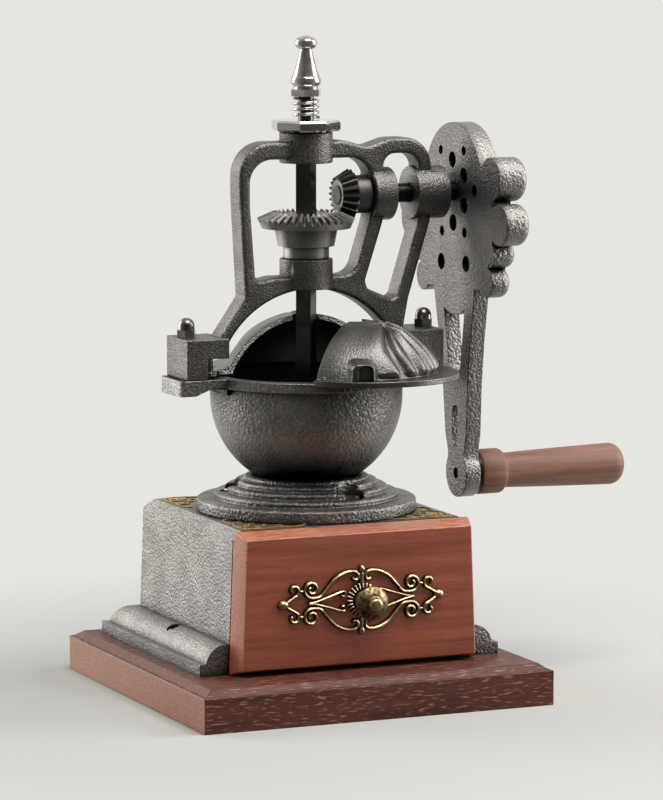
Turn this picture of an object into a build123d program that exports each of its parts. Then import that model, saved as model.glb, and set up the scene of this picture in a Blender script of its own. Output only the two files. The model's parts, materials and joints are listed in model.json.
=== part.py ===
"""Hand crank coffee grinder on a wooden plinth, with a drawer, bevel gears and swinging half lids.

The origin is on the spindle axis, at the plinth's underside. The drawer opens to the front (-Y),
the crank hangs on the right (+X) and the finial points up (+Z). Sizes are millimetres and degrees.
"""
from build123d import *
import math
import os

# Plinth
base_width = 190.0
base_depth = 191.0
base_wall_height = 17.8
base_height = 21.0
base_ledge = 1.5
base_bevel_angle = 55.0

# Drawer housing; the skirt's heights are above the plinth, its reaches out from the wall's foot
housing_front_y = -57.0
housing_back_y = 66.0
housing_half_top = 64.0
housing_half_foot = 66.8
housing_top_z = 93.0
housing_plate = 5.0
housing_bevel = 4.5
cavity_half_width = 59.5
cavity_back_y = 61.5
skirt_reach = 15.2
skirt_height = 15.5
skirt_lip = 6.0
skirt_wall = 4.0
skirt_root = 2.0
ovolo_reach = 11.8
outlet_radius = 19.0
housing_screw_x = 71.5
housing_screw_y = 4.5
housing_screw_radius = 2.0
housing_screw_head = 3.2
housing_screw_seat_z = 32.4
housing_screw_depth = 13.0

# Hopper bowl
foot_radius = 56.3
foot_ring_top_z = 99.4
foot_steps = [(47.4, 102.6), (41.6, 105.8), (36.6, 108.7), (32.4, 110.6)]
neck_radius = 27.6
bowl_radius = 49.3
bowl_wall = 4.5
bowl_centre_z = 152.5
rim_radius = 52.0
rim_thickness = 5.0
rim_top_z = 163.5
foot_edge = 0.9
throat_radius = 22.2
throat_floor_z = 97.0
ear_reach = 74.6
ear_half_depth = 14.4
ear_thickness = 8.0
ear_slope_x = (58.5, 66.0)
stud_x = 65.8
stud_radius = 2.5
hopper_bolt_count = 3
hopper_bolt_ring = 38.0
hopper_bolt_angle = -77.0
hopper_bolt_radius = 2.5
hopper_bolt_pocket = 6.5

# Burrs
burr_groove_count = 12
outer_burr_foot_radius = 15.5
outer_burr_mouth_radius = 19.5
outer_burr_top_z = 113.0
inner_burr_top_z = 112.0
inner_burr_foot_z = 97.6
burr_gap = 1.3
burr_nut_height = 5.0

# Yoke frame
yoke_depth = 15.0
yoke_edge_round = 2.2
boss_radius = 13.6
lower_boss_z = (206.5, 221.9)
upper_boss_z = (270.6, 286.3)
inner_boss_x = (34.0, 46.0)
outer_boss_x = (57.5, 75.7)
yoke_foot_x = (48.0, 71.0)
yoke_foot_top_z = 184.0
undercut_x = 59.5
undercut_z = 174.0
acorn_radius = 5.0
acorn_hex_height = 4.0
acorn_height = 10.0

# Spindle and its gear train
shaft_z = 253.6
spindle_side = 8.0
spindle_turn = 45.0
spindle_foot_z = 90.5
spindle_thread_radius = 4.0
spindle_top_z = 310.0
journal_radius = 5.6
journal_gap = 0.08
gear_teeth = 36
pinion_teeth = 18
gear_pitch_radius = 24.5
gear_face_width = 8.5
tooth_addendum = 0.80
tooth_dedendum = 1.05
tooth_backlash = 0.34
pressure_angle = 22.0
gear_rim_z = 237.4
gear_hub_z = 228.3
gear_collar_z = 222.4
pinion_hub_radius = 9.8
pinion_hub_end_x = 33.0
shaft_radius = 5.0
shaft_gap = 0.06

# Top stack
nut_radius = 17.8
nut_turn = 12.0
nut_bevel = 1.0
nut_z = (286.8, 292.3)
spring_radius = 6.1
spring_wire = 1.6
spring_turns = 3.5
spring_z = (293.6, 303.4)
collar_radius = 8.1
collar_z = (304.4, 307.9)
finial_radius = 7.75
finial_neck = 3.1
finial_ball_radius = 5.75
finial_ball_z = 331.3
finial_top_z = 335.0

# Crank; lobes and pits are across, up and radius from the shaft's centre, lobes with a thickness
crank_x = 82.4
crank_lean = 2.0
crank_thickness = 10.8
crank_hub_radius = 9.0
crank_hub_height = 3.4
crank_stud_radius = 4.0
crank_nut_height = 6.0
lobe_round = 4.0
arm_thickness = 8.5
crown_radius = 35.5
arm_length = 146.5
eye_radius = 12.5
lobes = [(44.6, 7.2, 11.3, 16.6), (53.8, -15.6, 10.6, 13.6)]
lobes += [(41.4, -31.0, 6.8, 13.0), (38.2, -45.4, 7.8, 11.0)]
hook_across = 29.6
hook_up = -57.0
hook_radius = 4.6
pit_depth = 3.0
pits = [(0, 16.3, 4.2), (0, -16.3, 4.4), (13.3, 8.2, 4.3), (13.3, -7.0, 4.3), (25.8, 0.8, 3.1)]
pits += [(13.8, 21.0, 2.5), (13.6, -21.0, 2.7), (14.9, -37.0, 4.3)]

# Handle
handle_bolt_radius = 3.0
bolt_head_radius = 5.0
bolt_seat_x = 167.4
washer_radius = 11.2
washer_thickness = 2.3
grip_start_x = 93.6
grip_end_x = 177.5
grip_collar_radius = 11.75
grip_collar_length = 14.4
grip_collar_round = 2.6
grip_neck_radius = 9.0
grip_end_radius = 10.9

# Lids; the niche is a hooded finger hold near the free end
lid_pivot_x = 53.5
lid_pin_radius = 2.0
lid_pin_top_z = 178.0
lid_tab_radius = 5.0
lid_base_radius = 43.6
lid_top_z = 193.4
lid_wall = 2.8
lid_floor_z = 163.9
lid_flange = 3.0
flange_radius = 47.2
flange_shift = (2.0, -5.5)
lid_half_gap = 0.4
lid_spindle_hole = 7.2
front_lid_swing = 39.0
lid_full_swing = 56.0
lid_notch_gap = 0.6
niche_angle = 213.0
niche_start = 30.0
niche_face = 45.5
niche_width = 9.0
niche_height = 14.5
niche_cut = 3.0

# Drawer
drawer_front_y = -57.4
drawer_edge_y = -66.0
drawer_panel_y = -69.0
drawer_bevel = 10.0
drawer_gap = 0.4
drawer_box_half = 57.5
drawer_box_back_y = 58.0
drawer_box_z = (21.6, 80.0)
drawer_board = 5.0
drawer_floor = 3.0

# Drawer pull
pull_z = 56.5
pull_thickness = 2.2
scroll_width = 1.9
volute_radius = 4.0
curl_radius = 2.2
bead_radius = 2.0
rosette_radius = 7.0
rosette_ribs = 24
rosette_thickness = 1.6
knob_radius = 8.25
knob_screw_radius = 1.8

os.makedirs("parts", exist_ok=True)


def housing_half_width(z):
    """Half width of the tapered housing and drawer front at a height."""
    rise = (z - base_height) / (housing_top_z - base_height)
    return housing_half_foot + (housing_half_top - housing_half_foot) * rise


housing_screw_places = [(side * housing_screw_x, housing_screw_y) for side in (-1, 1)]

# Wooden plinth with a bevelled moulding round its top
with BuildPart() as base_plate:
    with BuildSketch():
        Rectangle(base_width, base_depth)
    extrude(amount=base_wall_height)
    with BuildSketch(Plane.XY.offset(base_wall_height)):
        Rectangle(base_width - 2 * base_ledge, base_depth - 2 * base_ledge)
    extrude(amount=base_height - base_wall_height, taper=base_bevel_angle)
    with BuildSketch(Plane.XY.offset(base_height)):
        with Locations(*housing_screw_places):
            Circle(housing_screw_radius)
    extrude(amount=-housing_screw_depth, mode=Mode.SUBTRACT)
base_plate.part.label = "base_plate"
export_step(base_plate.part, "parts/base_plate.step")

# Moulded skirt: one profile along the left, mirrored to the right, and mitred to a length at the back
with BuildSketch() as skirt_profile:
    with BuildLine():
        ovolo_top = Line((-skirt_root, skirt_height), (0, skirt_height))
        ovolo = ThreePointArc(
            ovolo_top @ 1, (0.68 * ovolo_reach, 0.84 * skirt_height), (ovolo_reach, skirt_lip)
        )
        lip = Polyline(ovolo @ 1, (skirt_reach, skirt_lip), (skirt_reach, 0), (ovolo_reach, 0))
        hollow = ThreePointArc(
            lip @ 1, (0.55 * ovolo_reach, 0.52 * skirt_height), (-skirt_root, skirt_height - skirt_wall)
        )
        Line(hollow @ 1, ovolo_top @ 0)
    make_face()

skirt_start = (-housing_half_foot, housing_front_y, base_height)
skirt_corner = (-housing_half_foot, housing_back_y, base_height)
with BuildPart() as side_skirt:
    with BuildSketch(Plane(origin=skirt_start, x_dir=(-1, 0, 0), z_dir=(0, 1, 0))):
        add(skirt_profile.sketch)
    extrude(amount=housing_back_y - housing_front_y + skirt_reach)
    split(bisect_by=Plane(origin=skirt_corner, z_dir=(-1, -1, 0)), keep=Keep.TOP)
    mirror(about=Plane.YZ)

with BuildPart() as back_skirt:
    with BuildSketch(Plane(origin=(0, housing_back_y, base_height), x_dir=(0, 1, 0), z_dir=(1, 0, 0))):
        add(skirt_profile.sketch)
    extrude(amount=-housing_half_foot - skirt_reach)
    split(bisect_by=Plane(origin=skirt_corner, z_dir=(1, 1, 0)), keep=Keep.TOP)
    mirror(about=Plane.YZ)

# Cast housing: a tapered box open to the front and below, with the skirt on three sides
with BuildPart() as drawer_housing:
    with BuildSketch(Plane.XZ.offset(-housing_back_y)):
        Polygon(
            (-housing_half_foot, base_height),
            (housing_half_foot, base_height),
            (housing_half_top, housing_top_z),
            (-housing_half_top, housing_top_z),
            align=None,
        )
    extrude(amount=housing_back_y - housing_front_y)
    top_edges = drawer_housing.faces().sort_by(Axis.Z)[-1].edges()
    chamfer(top_edges.sort_by(Axis.Y)[1:], housing_bevel)
    add(side_skirt.part)
    add(back_skirt.part)
    with BuildSketch(Plane.XZ.offset(-cavity_back_y)):
        with Locations((0, base_height)):
            Rectangle(
                2 * cavity_half_width,
                housing_top_z - housing_plate - base_height,
                align=(Align.CENTER, Align.MIN),
            )
    extrude(amount=cavity_back_y - housing_front_y, mode=Mode.SUBTRACT)
    with BuildSketch(Plane.XY.offset(housing_top_z)):
        Circle(outlet_radius)
        with PolarLocations(hopper_bolt_ring, hopper_bolt_count, hopper_bolt_angle):
            Circle(hopper_bolt_radius)
    extrude(amount=-2 * housing_plate, mode=Mode.SUBTRACT)
    with BuildSketch(Plane.XY.offset(base_height)):
        with Locations(*housing_screw_places):
            Circle(housing_screw_radius + 0.2)
    extrude(amount=2 * skirt_height, mode=Mode.SUBTRACT)
    with BuildSketch(Plane.XY.offset(housing_screw_seat_z)):
        with Locations(*housing_screw_places):
            Circle(housing_screw_head + 0.5)
    extrude(amount=skirt_height, mode=Mode.SUBTRACT)
drawer_housing.part.label = "drawer_housing"
export_step(drawer_housing.part, "parts/drawer_housing.step")

# Round-headed screws that hold the skirt to the plinth
with BuildPart() as housing_screws:
    with BuildSketch(Plane.XY.offset(base_height - housing_screw_depth + 1)):
        with Locations(*housing_screw_places):
            Circle(housing_screw_radius)
    extrude(amount=housing_screw_seat_z - base_height + housing_screw_depth - 1)
    with BuildSketch(Plane.XY.offset(housing_screw_seat_z)):
        with Locations(*housing_screw_places):
            Circle(housing_screw_head)
    extrude(amount=2.2)
    fillet(housing_screws.edges().group_by(Axis.Z)[-1], 1.6)
housing_screws.part.label = "housing_screws"
export_step(housing_screws.part, "parts/housing_screws.step")

# Foot of the bowl: stepped rings round the outlet, turned as one profile
bowl_inner_radius = bowl_radius - bowl_wall
half_way = math.radians(62)
neck_z = bowl_centre_z - math.sqrt(bowl_radius**2 - neck_radius**2)
throat_z = bowl_centre_z - math.sqrt(bowl_inner_radius**2 - throat_radius**2)
with BuildPart() as hopper_foot:
    with BuildSketch(Plane.XZ):
        foot_points = [(outlet_radius, housing_top_z), (foot_radius, housing_top_z)]
        foot_points.append((foot_radius, foot_ring_top_z - foot_edge))
        foot_points.append((foot_radius - foot_edge, foot_ring_top_z))
        step_floor = foot_ring_top_z + 0.3
        for step_radius, step_top in foot_steps:
            foot_points += [(step_radius, step_floor), (step_radius, step_top - foot_edge)]
            foot_points.append((step_radius - foot_edge, step_top))
            step_floor = step_top + 0.3
        foot_points += [(neck_radius, neck_z), (throat_radius, neck_z)]
        foot_points += [(throat_radius, throat_floor_z), (outlet_radius, throat_floor_z)]
        Polygon(*foot_points, align=None)
    revolve(axis=Axis.Z)
    with BuildSketch(Plane.XY.offset(foot_ring_top_z)):
        with PolarLocations(hopper_bolt_ring, hopper_bolt_count, hopper_bolt_angle):
            Circle(hopper_bolt_pocket)
    extrude(amount=neck_z - foot_ring_top_z, mode=Mode.SUBTRACT)
    with BuildSketch(Plane.XY.offset(housing_top_z)):
        with PolarLocations(hopper_bolt_ring, hopper_bolt_count, hopper_bolt_angle):
            Circle(hopper_bolt_radius)
    extrude(amount=2 * (foot_ring_top_z - housing_top_z), mode=Mode.SUBTRACT)
hopper_foot.part.label = "hopper_foot"
export_step(hopper_foot.part, "parts/hopper_foot.step")

# Bowl: a hemisphere open at the throat, with a rim and two ears that thin towards it
with BuildPart() as hopper_bowl:
    with BuildSketch(Plane.XZ):
        with BuildLine():
            outer_wall = ThreePointArc(
                (neck_radius, neck_z),
                (bowl_radius * math.sin(half_way), bowl_centre_z - bowl_radius * math.cos(half_way)),
                (bowl_radius, bowl_centre_z),
            )
            Polyline(
                outer_wall @ 1,
                (bowl_radius, rim_top_z - rim_thickness),
                (rim_radius, rim_top_z - rim_thickness),
                (rim_radius, rim_top_z),
                (bowl_inner_radius, rim_top_z),
                (bowl_inner_radius, bowl_centre_z),
            )
            inner_wall = ThreePointArc(
                (bowl_inner_radius, bowl_centre_z),
                (
                    bowl_inner_radius * math.sin(half_way),
                    bowl_centre_z - bowl_inner_radius * math.cos(half_way),
                ),
                (throat_radius, throat_z),
            )
            Polyline(inner_wall @ 1, (throat_radius, neck_z), (neck_radius, neck_z))
        make_face()
    revolve(axis=Axis.Z)
    with BuildSketch(Plane.XY.offset(rim_top_z)):
        for side in (-1, 1):
            with Locations((side * (ear_reach + rim_radius - 5) / 2, 0)):
                RectangleRounded(ear_reach - rim_radius + 5, 2 * ear_half_depth, 3)
    extrude(amount=-ear_thickness)
    ear_foot_z = rim_top_z - ear_thickness
    with BuildSketch(Plane.XZ):
        Polygon(
            (bowl_radius + 0.5, ear_foot_z),
            (ear_slope_x[1], ear_foot_z),
            (ear_slope_x[0], rim_top_z - rim_thickness),
            (bowl_radius + 0.5, rim_top_z - rim_thickness),
            align=None,
        )
        mirror(about=Plane.YZ)
    extrude(amount=2 * ear_half_depth, both=True, mode=Mode.SUBTRACT)
    with BuildSketch(Plane.XY.offset(rim_top_z)):
        with Locations((-stud_x, 0), (stud_x, 0)):
            Circle(stud_radius)
        with Locations((-lid_pivot_x, 0), (lid_pivot_x, 0)):
            Circle(lid_pin_radius)
    extrude(amount=-2 * ear_thickness, mode=Mode.SUBTRACT)
hopper_bowl.part.label = "hopper_bowl"
export_step(hopper_bowl.part, "parts/hopper_bowl.step")

# Hexagon bolts through the foot into the housing's top plate
with BuildPart() as hopper_bolts:
    with BuildSketch(Plane.XY.offset(housing_top_z - housing_plate)):
        with PolarLocations(hopper_bolt_ring, hopper_bolt_count, hopper_bolt_angle):
            Circle(hopper_bolt_radius)
    extrude(amount=foot_ring_top_z - housing_top_z + housing_plate)
    with BuildSketch(Plane.XY.offset(foot_ring_top_z)):
        with PolarLocations(hopper_bolt_ring, hopper_bolt_count, hopper_bolt_angle):
            RegularPolygon(1.8 * hopper_bolt_radius, 6)
    extrude(amount=1.8 * hopper_bolt_radius)
    chamfer(hopper_bolts.edges().group_by(Axis.Z)[-1], 0.5)
hopper_bolts.part.label = "hopper_bolts"
export_step(hopper_bolts.part, "parts/hopper_bolts.step")


def burr_wall(z):
    """Inner radius of the fixed grinding ring at a height."""
    rise = (z - throat_floor_z) / (outer_burr_top_z - throat_floor_z)
    return outer_burr_foot_radius + (outer_burr_mouth_radius - outer_burr_foot_radius) * rise


# Fixed grinding ring in the throat, with upright grooves on its cone
with BuildPart() as outer_burr:
    with BuildSketch(Plane.XZ):
        Polygon(
            (outer_burr_foot_radius, throat_floor_z),
            (throat_radius, throat_floor_z),
            (throat_radius, outer_burr_top_z),
            (outer_burr_mouth_radius, outer_burr_top_z),
            align=None,
        )
    revolve(axis=Axis.Z)
    with BuildSketch(Plane.XY.offset(throat_floor_z)):
        with PolarLocations(outer_burr_mouth_radius - 1.5, burr_groove_count):
            Rectangle(4, 1.8)
    extrude(amount=outer_burr_top_z - throat_floor_z, mode=Mode.SUBTRACT)
outer_burr.part.label = "outer_burr"
export_step(outer_burr.part, "parts/outer_burr.step")

# Yoke: one flat frame in the XZ plane, with two pairs of bosses and two block feet
with BuildPart() as yoke_frame:
    with BuildSketch(Plane.XZ) as yoke_outline:
        with BuildLine():
            arch = ThreePointArc((-46.5, 178.0), (0, 206.5), (46.5, 178.0))
            FilletPolyline(
                arch @ 1, (51.0, 181.0), (54.6, 200.0), (67.2, 241.0), (67.2, 282.4), (44.0, 282.4),
                (31.0, 278.2), (19.0, 281.8), (0, 281.8),
                radius=[1.5, 12.0, 20.0, 15.0, 18.0, 12.0, 16.0],
            )
            FilletPolyline(
                arch @ 0, (-52.0, 181.0), (-36.5, 203.5), (-39.4, 255.0), (-39.4, 281.8), (0, 281.8),
                radius=[1.5, 5.0, 60.0, 17.0],
            )
        make_face()
        with BuildLine():
            FilletPolyline(
                (-33.3, 272.9), (-33.3, 250.0), (-30.4, 211.2), (-20.0, 213.2), (24.2, 213.2),
                (33.4, 243.0), (33.4, 272.9),
                radius=[12.0, 40.0, 3.0, 8.0, 9.0, 30.0, 12.0],
                close=True,
            )
        make_face(mode=Mode.SUBTRACT)
        with BuildLine():
            FilletPolyline(
                (40.5, 274.4), (40.5, 241.0), (30.2, 209.6), (31.6, 205.6), (44.6, 200.0),
                (48.0, 201.4), (60.2, 241.0), (60.2, 274.4),
                radius=[6.5, 20.0, 2.5, 2.5, 1.5, 3.0, 20.0, 8.0],
                close=True,
            )
        make_face(mode=Mode.SUBTRACT)
    extrude(amount=yoke_depth / 2, both=True)
    flat_faces = yoke_frame.faces().sort_by(Axis.Y)
    fillet(flat_faces[0].edges() + flat_faces[-1].edges(), yoke_edge_round)
    for boss_z in (lower_boss_z, upper_boss_z):
        with BuildSketch(Plane.XY.offset(boss_z[0])):
            Circle(boss_radius)
        extrude(amount=boss_z[1] - boss_z[0])
    for boss_x in (inner_boss_x, outer_boss_x):
        with BuildSketch(Plane.YZ.offset(boss_x[0])):
            with Locations((0, shaft_z)):
                Circle(boss_radius)
        extrude(amount=boss_x[1] - boss_x[0])
    foot_width = yoke_foot_x[1] - yoke_foot_x[0]
    foot_height = yoke_foot_top_z - rim_top_z
    with Locations(*[(side * sum(yoke_foot_x) / 2, 0, rim_top_z + foot_height / 2) for side in (-1, 1)]):
        Box(foot_width, 2 * ear_half_depth, foot_height)
    undercut_width = undercut_x - yoke_foot_x[0]
    undercut_height = undercut_z - rim_top_z
    with Locations(*[(side * (yoke_foot_x[0] + undercut_width / 2), 0, rim_top_z) for side in (-1, 1)]):
        Box(
            undercut_width,
            2 * ear_half_depth,
            undercut_height,
            align=(Align.CENTER, Align.CENTER, Align.MIN),
            mode=Mode.SUBTRACT,
        )
    with BuildSketch(Plane.XY.offset(upper_boss_z[1])):
        Circle(journal_radius + journal_gap)
    extrude(amount=lower_boss_z[0] - upper_boss_z[1] - boss_radius, mode=Mode.SUBTRACT)
    with BuildSketch(Plane.YZ.offset(outer_boss_x[1])):
        with Locations((0, shaft_z)):
            Circle(shaft_radius + shaft_gap)
    extrude(amount=inner_boss_x[0] - outer_boss_x[1] - boss_radius, mode=Mode.SUBTRACT)
    with BuildSketch(Plane.XY.offset(rim_top_z)):
        with Locations((-stud_x, 0), (stud_x, 0)):
            Circle(stud_radius)
        with Locations((-lid_pivot_x, 0), (lid_pivot_x, 0)):
            Circle(lid_pin_radius)
    extrude(amount=lid_pin_top_z - rim_top_z, mode=Mode.SUBTRACT)
    with BuildSketch(Plane.XY.offset(rim_top_z)):
        with Locations((-stud_x, 0), (stud_x, 0)):
            Circle(stud_radius)
    extrude(amount=foot_height, mode=Mode.SUBTRACT)
yoke_frame.part.label = "yoke_frame"
export_step(yoke_frame.part, "parts/yoke_frame.step")

# Studs through the ears, and domed nuts on top of them
with BuildPart() as yoke_studs:
    with BuildSketch(Plane.XY.offset(ear_foot_z)):
        with Locations((-stud_x, 0), (stud_x, 0)):
            Circle(stud_radius)
    extrude(amount=yoke_foot_top_z + 6 - ear_foot_z)
yoke_studs.part.label = "yoke_studs"
export_step(yoke_studs.part, "parts/yoke_studs.step")

with BuildPart() as acorn_nuts:
    with BuildSketch(Plane.XY.offset(yoke_foot_top_z)):
        with Locations((-stud_x, 0), (stud_x, 0)):
            RegularPolygon(acorn_radius, 6)
    extrude(amount=acorn_hex_height)
    with BuildSketch(Plane.XY.offset(yoke_foot_top_z + acorn_hex_height)):
        with Locations((-stud_x, 0), (stud_x, 0)):
            Circle(0.84 * acorn_radius)
    extrude(amount=acorn_height - acorn_hex_height)
    fillet(acorn_nuts.edges().group_by(Axis.Z)[-1], 0.8 * acorn_radius)
    with BuildSketch(Plane.XY.offset(yoke_foot_top_z)):
        with Locations((-stud_x, 0), (stud_x, 0)):
            Circle(stud_radius)
    extrude(amount=6, mode=Mode.SUBTRACT)
acorn_nuts.part.label = "acorn_nuts"
export_step(acorn_nuts.part, "parts/acorn_nuts.step")

with BuildPart() as lid_pivot_pins:
    with BuildSketch(Plane.XY.offset(rim_top_z - rim_thickness)):
        with Locations((-lid_pivot_x, 0), (lid_pivot_x, 0)):
            Circle(lid_pin_radius)
    extrude(amount=lid_pin_top_z - rim_top_z + rim_thickness)
lid_pivot_pins.part.label = "lid_pivot_pins"
export_step(lid_pivot_pins.part, "parts/lid_pivot_pins.step")

# Spindle: a square bar, turned round in the two bosses and threaded at its ends
with BuildPart() as spindle:
    with BuildSketch(Plane.XY.offset(inner_burr_foot_z)):
        Rectangle(spindle_side, spindle_side, rotation=spindle_turn)
    extrude(amount=upper_boss_z[1] - inner_burr_foot_z)
    for boss_z in (lower_boss_z, upper_boss_z):
        with BuildSketch(Plane.XY.offset(boss_z[0] - 0.3)):
            Circle(journal_radius)
        extrude(amount=boss_z[1] - boss_z[0] + 0.4)
    with BuildSketch(Plane.XY.offset(spindle_foot_z)):
        Circle(spindle_thread_radius)
    extrude(amount=spindle_top_z - spindle_foot_z)
spindle.part.label = "spindle"
export_step(spindle.part, "parts/spindle.step")

# Straight bevel gears: both pitch cones meet where the shaft and spindle axes cross
gear_cone = math.degrees(math.atan2(gear_teeth, pinion_teeth))
pinion_cone = 90 - gear_cone
cone_length = gear_pitch_radius / math.sin(math.radians(gear_cone))
tooth_module = 2 * gear_pitch_radius / gear_teeth
apex = Vector(0, 0, shaft_z)


def tooth_outline(shrink, side):
    """Trapezoid section of one tooth, scaled towards the apex; side is +1 or -1 for its height."""
    lean = math.tan(math.radians(pressure_angle))
    pitch_half = (math.pi * tooth_module / 2 - tooth_backlash) / 2
    tip = tooth_addendum * tooth_module
    root = (tooth_dedendum + 0.4) * tooth_module
    heights = [(-root, pitch_half + root * lean), (tip, pitch_half - tip * lean)]
    right = [(half * shrink, side * height * shrink) for height, half in heights]
    left = [(-half * shrink, side * height * shrink) for height, half in reversed(heights)]
    return right + left


inner_shrink = (cone_length - gear_face_width) / cone_length
gear_ray = Vector(math.sin(math.radians(gear_cone)), 0, -math.cos(math.radians(gear_cone)))
with BuildPart() as gear_tooth:
    for shrink in (1.0, inner_shrink):
        section = Plane(origin=apex + gear_ray * (cone_length * shrink), x_dir=(0, 1, 0), z_dir=gear_ray)
        with BuildSketch(section):
            Polygon(*tooth_outline(shrink, 1), align=None)
    loft()


def gear_root(shrink):
    """Radius and height of the gear's root cone at a fraction of the cone length."""
    depth = tooth_dedendum * tooth_module
    slope = math.radians(gear_cone)
    radius = (cone_length * math.sin(slope) - depth * math.cos(slope)) * shrink
    height = shaft_z - (cone_length * math.cos(slope) + depth * math.sin(slope)) * shrink
    return radius, height


with BuildPart() as crown_gear:
    with BuildSketch(Plane.XZ):
        Polygon(
            (0, gear_root(inner_shrink)[1] - 1.2),
            (gear_root(inner_shrink)[0] - 2, gear_root(inner_shrink)[1] - 1.2),
            gear_root(inner_shrink),
            gear_root(1.0),
            (22.8, gear_rim_z),
            (16.2, gear_rim_z),
            (14.5, gear_hub_z),
            (11.8, gear_hub_z - 0.6),
            (11.8, gear_collar_z),
            (0, gear_collar_z),
            align=None,
        )
    revolve(axis=Axis.Z)
    with PolarLocations(0, gear_teeth):
        add(gear_tooth.part)
    with BuildSketch(Plane.XY.offset(gear_collar_z)):
        Rectangle(spindle_side, spindle_side, rotation=spindle_turn)
    extrude(amount=shaft_z - gear_collar_z, mode=Mode.SUBTRACT)
crown_gear.part.label = "crown_gear"
export_step(crown_gear.part, "parts/crown_gear.step")

pinion_ray = Vector(math.cos(math.radians(pinion_cone)), 0, -math.sin(math.radians(pinion_cone)))
pinion_axis = Axis((0, 0, shaft_z), (1, 0, 0))
with BuildPart() as pinion_tooth:
    for shrink in (1.0, inner_shrink):
        section = Plane(origin=apex + pinion_ray * (cone_length * shrink), x_dir=(0, 1, 0), z_dir=pinion_ray)
        with BuildSketch(section):
            Polygon(*tooth_outline(shrink, -1), align=None)
    loft()


def pinion_root(shrink):
    """Distance along the shaft and radius of the pinion's root cone at a fraction of the cone length."""
    depth = tooth_dedendum * tooth_module
    slope = math.radians(pinion_cone)
    along = (cone_length * math.cos(slope) + depth * math.sin(slope)) * shrink
    radius = (cone_length * math.sin(slope) - depth * math.cos(slope)) * shrink
    return along, radius


with BuildPart() as drive_pinion:
    with BuildSketch(Plane(origin=(0, 0, shaft_z), x_dir=(1, 0, 0), z_dir=(0, -1, 0))):
        Polygon(
            (pinion_root(inner_shrink)[0], shaft_radius),
            pinion_root(inner_shrink),
            pinion_root(1.0),
            (pinion_root(1.0)[0] + 0.6, pinion_hub_radius),
            (pinion_hub_end_x, pinion_hub_radius),
            (pinion_hub_end_x, shaft_radius),
            align=None,
        )
    revolve(axis=pinion_axis)
    for index in range(pinion_teeth):
        turn = 360 * (index + 0.5) / pinion_teeth
        add(pinion_tooth.part.rotate(pinion_axis, turn))
drive_pinion.part.label = "drive_pinion"
export_step(drive_pinion.part, "parts/drive_pinion.step")

# Conical burr that turns in the ring, and the nut that holds it
with BuildPart() as inner_burr:
    with BuildSketch(Plane.XZ):
        Polygon(
            (0, inner_burr_foot_z),
            (burr_wall(inner_burr_foot_z) - burr_gap, inner_burr_foot_z),
            (burr_wall(inner_burr_top_z) - 2.5 * burr_gap, inner_burr_top_z),
            (0, inner_burr_top_z),
            align=None,
        )
    revolve(axis=Axis.Z)
    with BuildSketch(Plane.XY.offset(inner_burr_foot_z)):
        with PolarLocations(burr_wall(inner_burr_foot_z) - burr_gap, burr_groove_count - 2):
            Rectangle(5, 2)
        Rectangle(spindle_side, spindle_side, rotation=spindle_turn)
    extrude(amount=inner_burr_top_z - inner_burr_foot_z, mode=Mode.SUBTRACT)
inner_burr.part.label = "inner_burr"
export_step(inner_burr.part, "parts/inner_burr.step")

with BuildPart() as burr_nut:
    with BuildSketch(Plane.XY.offset(inner_burr_foot_z)):
        RegularPolygon(1.7 * spindle_thread_radius, 6)
        Circle(spindle_thread_radius, mode=Mode.SUBTRACT)
    extrude(amount=-burr_nut_height)
burr_nut.part.label = "burr_nut"
export_step(burr_nut.part, "parts/burr_nut.step")

# Flat eight-sided nut on top of the upper boss
with BuildPart() as adjusting_nut:
    with BuildSketch(Plane.XY.offset(nut_z[0])):
        RegularPolygon(nut_radius, 8, rotation=nut_turn)
        Circle(spindle_thread_radius + journal_gap, mode=Mode.SUBTRACT)
    extrude(amount=nut_z[1] - nut_z[0])
    nut_rims = adjusting_nut.faces().sort_by(Axis.Z)
    chamfer(nut_rims[-1].outer_wire().edges() + nut_rims[0].outer_wire().edges(), nut_bevel)
adjusting_nut.part.label = "adjusting_nut"
export_step(adjusting_nut.part, "parts/adjusting_nut.step")


def helix_point(turn):
    """Point of the spring's centre line after a number of turns."""
    angle = 2 * math.pi * turn
    rise = spring_z[0] + (spring_z[1] - spring_z[0]) * turn / spring_turns
    return Vector(spring_radius * math.cos(angle), spring_radius * math.sin(angle), rise)


def helix_direction(turn):
    """Unit tangent of the spring's centre line after a number of turns."""
    angle = 2 * math.pi * turn
    climb = (spring_z[1] - spring_z[0]) / (2 * math.pi * spring_turns)
    return Vector(-spring_radius * math.sin(angle), spring_radius * math.cos(angle), climb).normalized()


def biarc_joint(start, leave, end, arrive):
    """Point where two arcs meet that leave start and arrive at end along the given tangents."""
    span = end - start
    both = leave + arrive
    bend = 2 * (1 - leave.dot(arrive))
    reach = (math.sqrt(span.dot(both) ** 2 + bend * span.dot(span)) - span.dot(both)) / bend
    return (start + end + (leave - arrive) * reach) * 0.5, reach


# Coil spring between the nut and its collar: one wire on arcs of a quarter turn
with BuildPart() as lock_spring:
    with BuildLine() as spring_path:
        Line(helix_point(0) - helix_direction(0) * spring_wire, helix_point(0))
        for quarter in range(round(4 * spring_turns)):
            start, end = helix_point(quarter / 4), helix_point((quarter + 1) / 4)
            leave, arrive = helix_direction(quarter / 4), helix_direction((quarter + 1) / 4)
            middle, reach = biarc_joint(start, leave, end, arrive)
            crossing = (end - arrive * reach) - (start + leave * reach)
            TangentArc(start, middle, tangent=leave)
            TangentArc(middle, end, tangent=crossing)
        last = spring_turns
        Line(helix_point(last), helix_point(last) + helix_direction(last) * spring_wire)
    wire_start = Plane(origin=spring_path.line @ 0, z_dir=spring_path.line % 0)
    with BuildSketch(wire_start):
        Circle(spring_wire / 2)
    sweep(path=spring_path.wire())
spring_pitch = (spring_z[1] - spring_z[0]) / spring_turns
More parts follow.
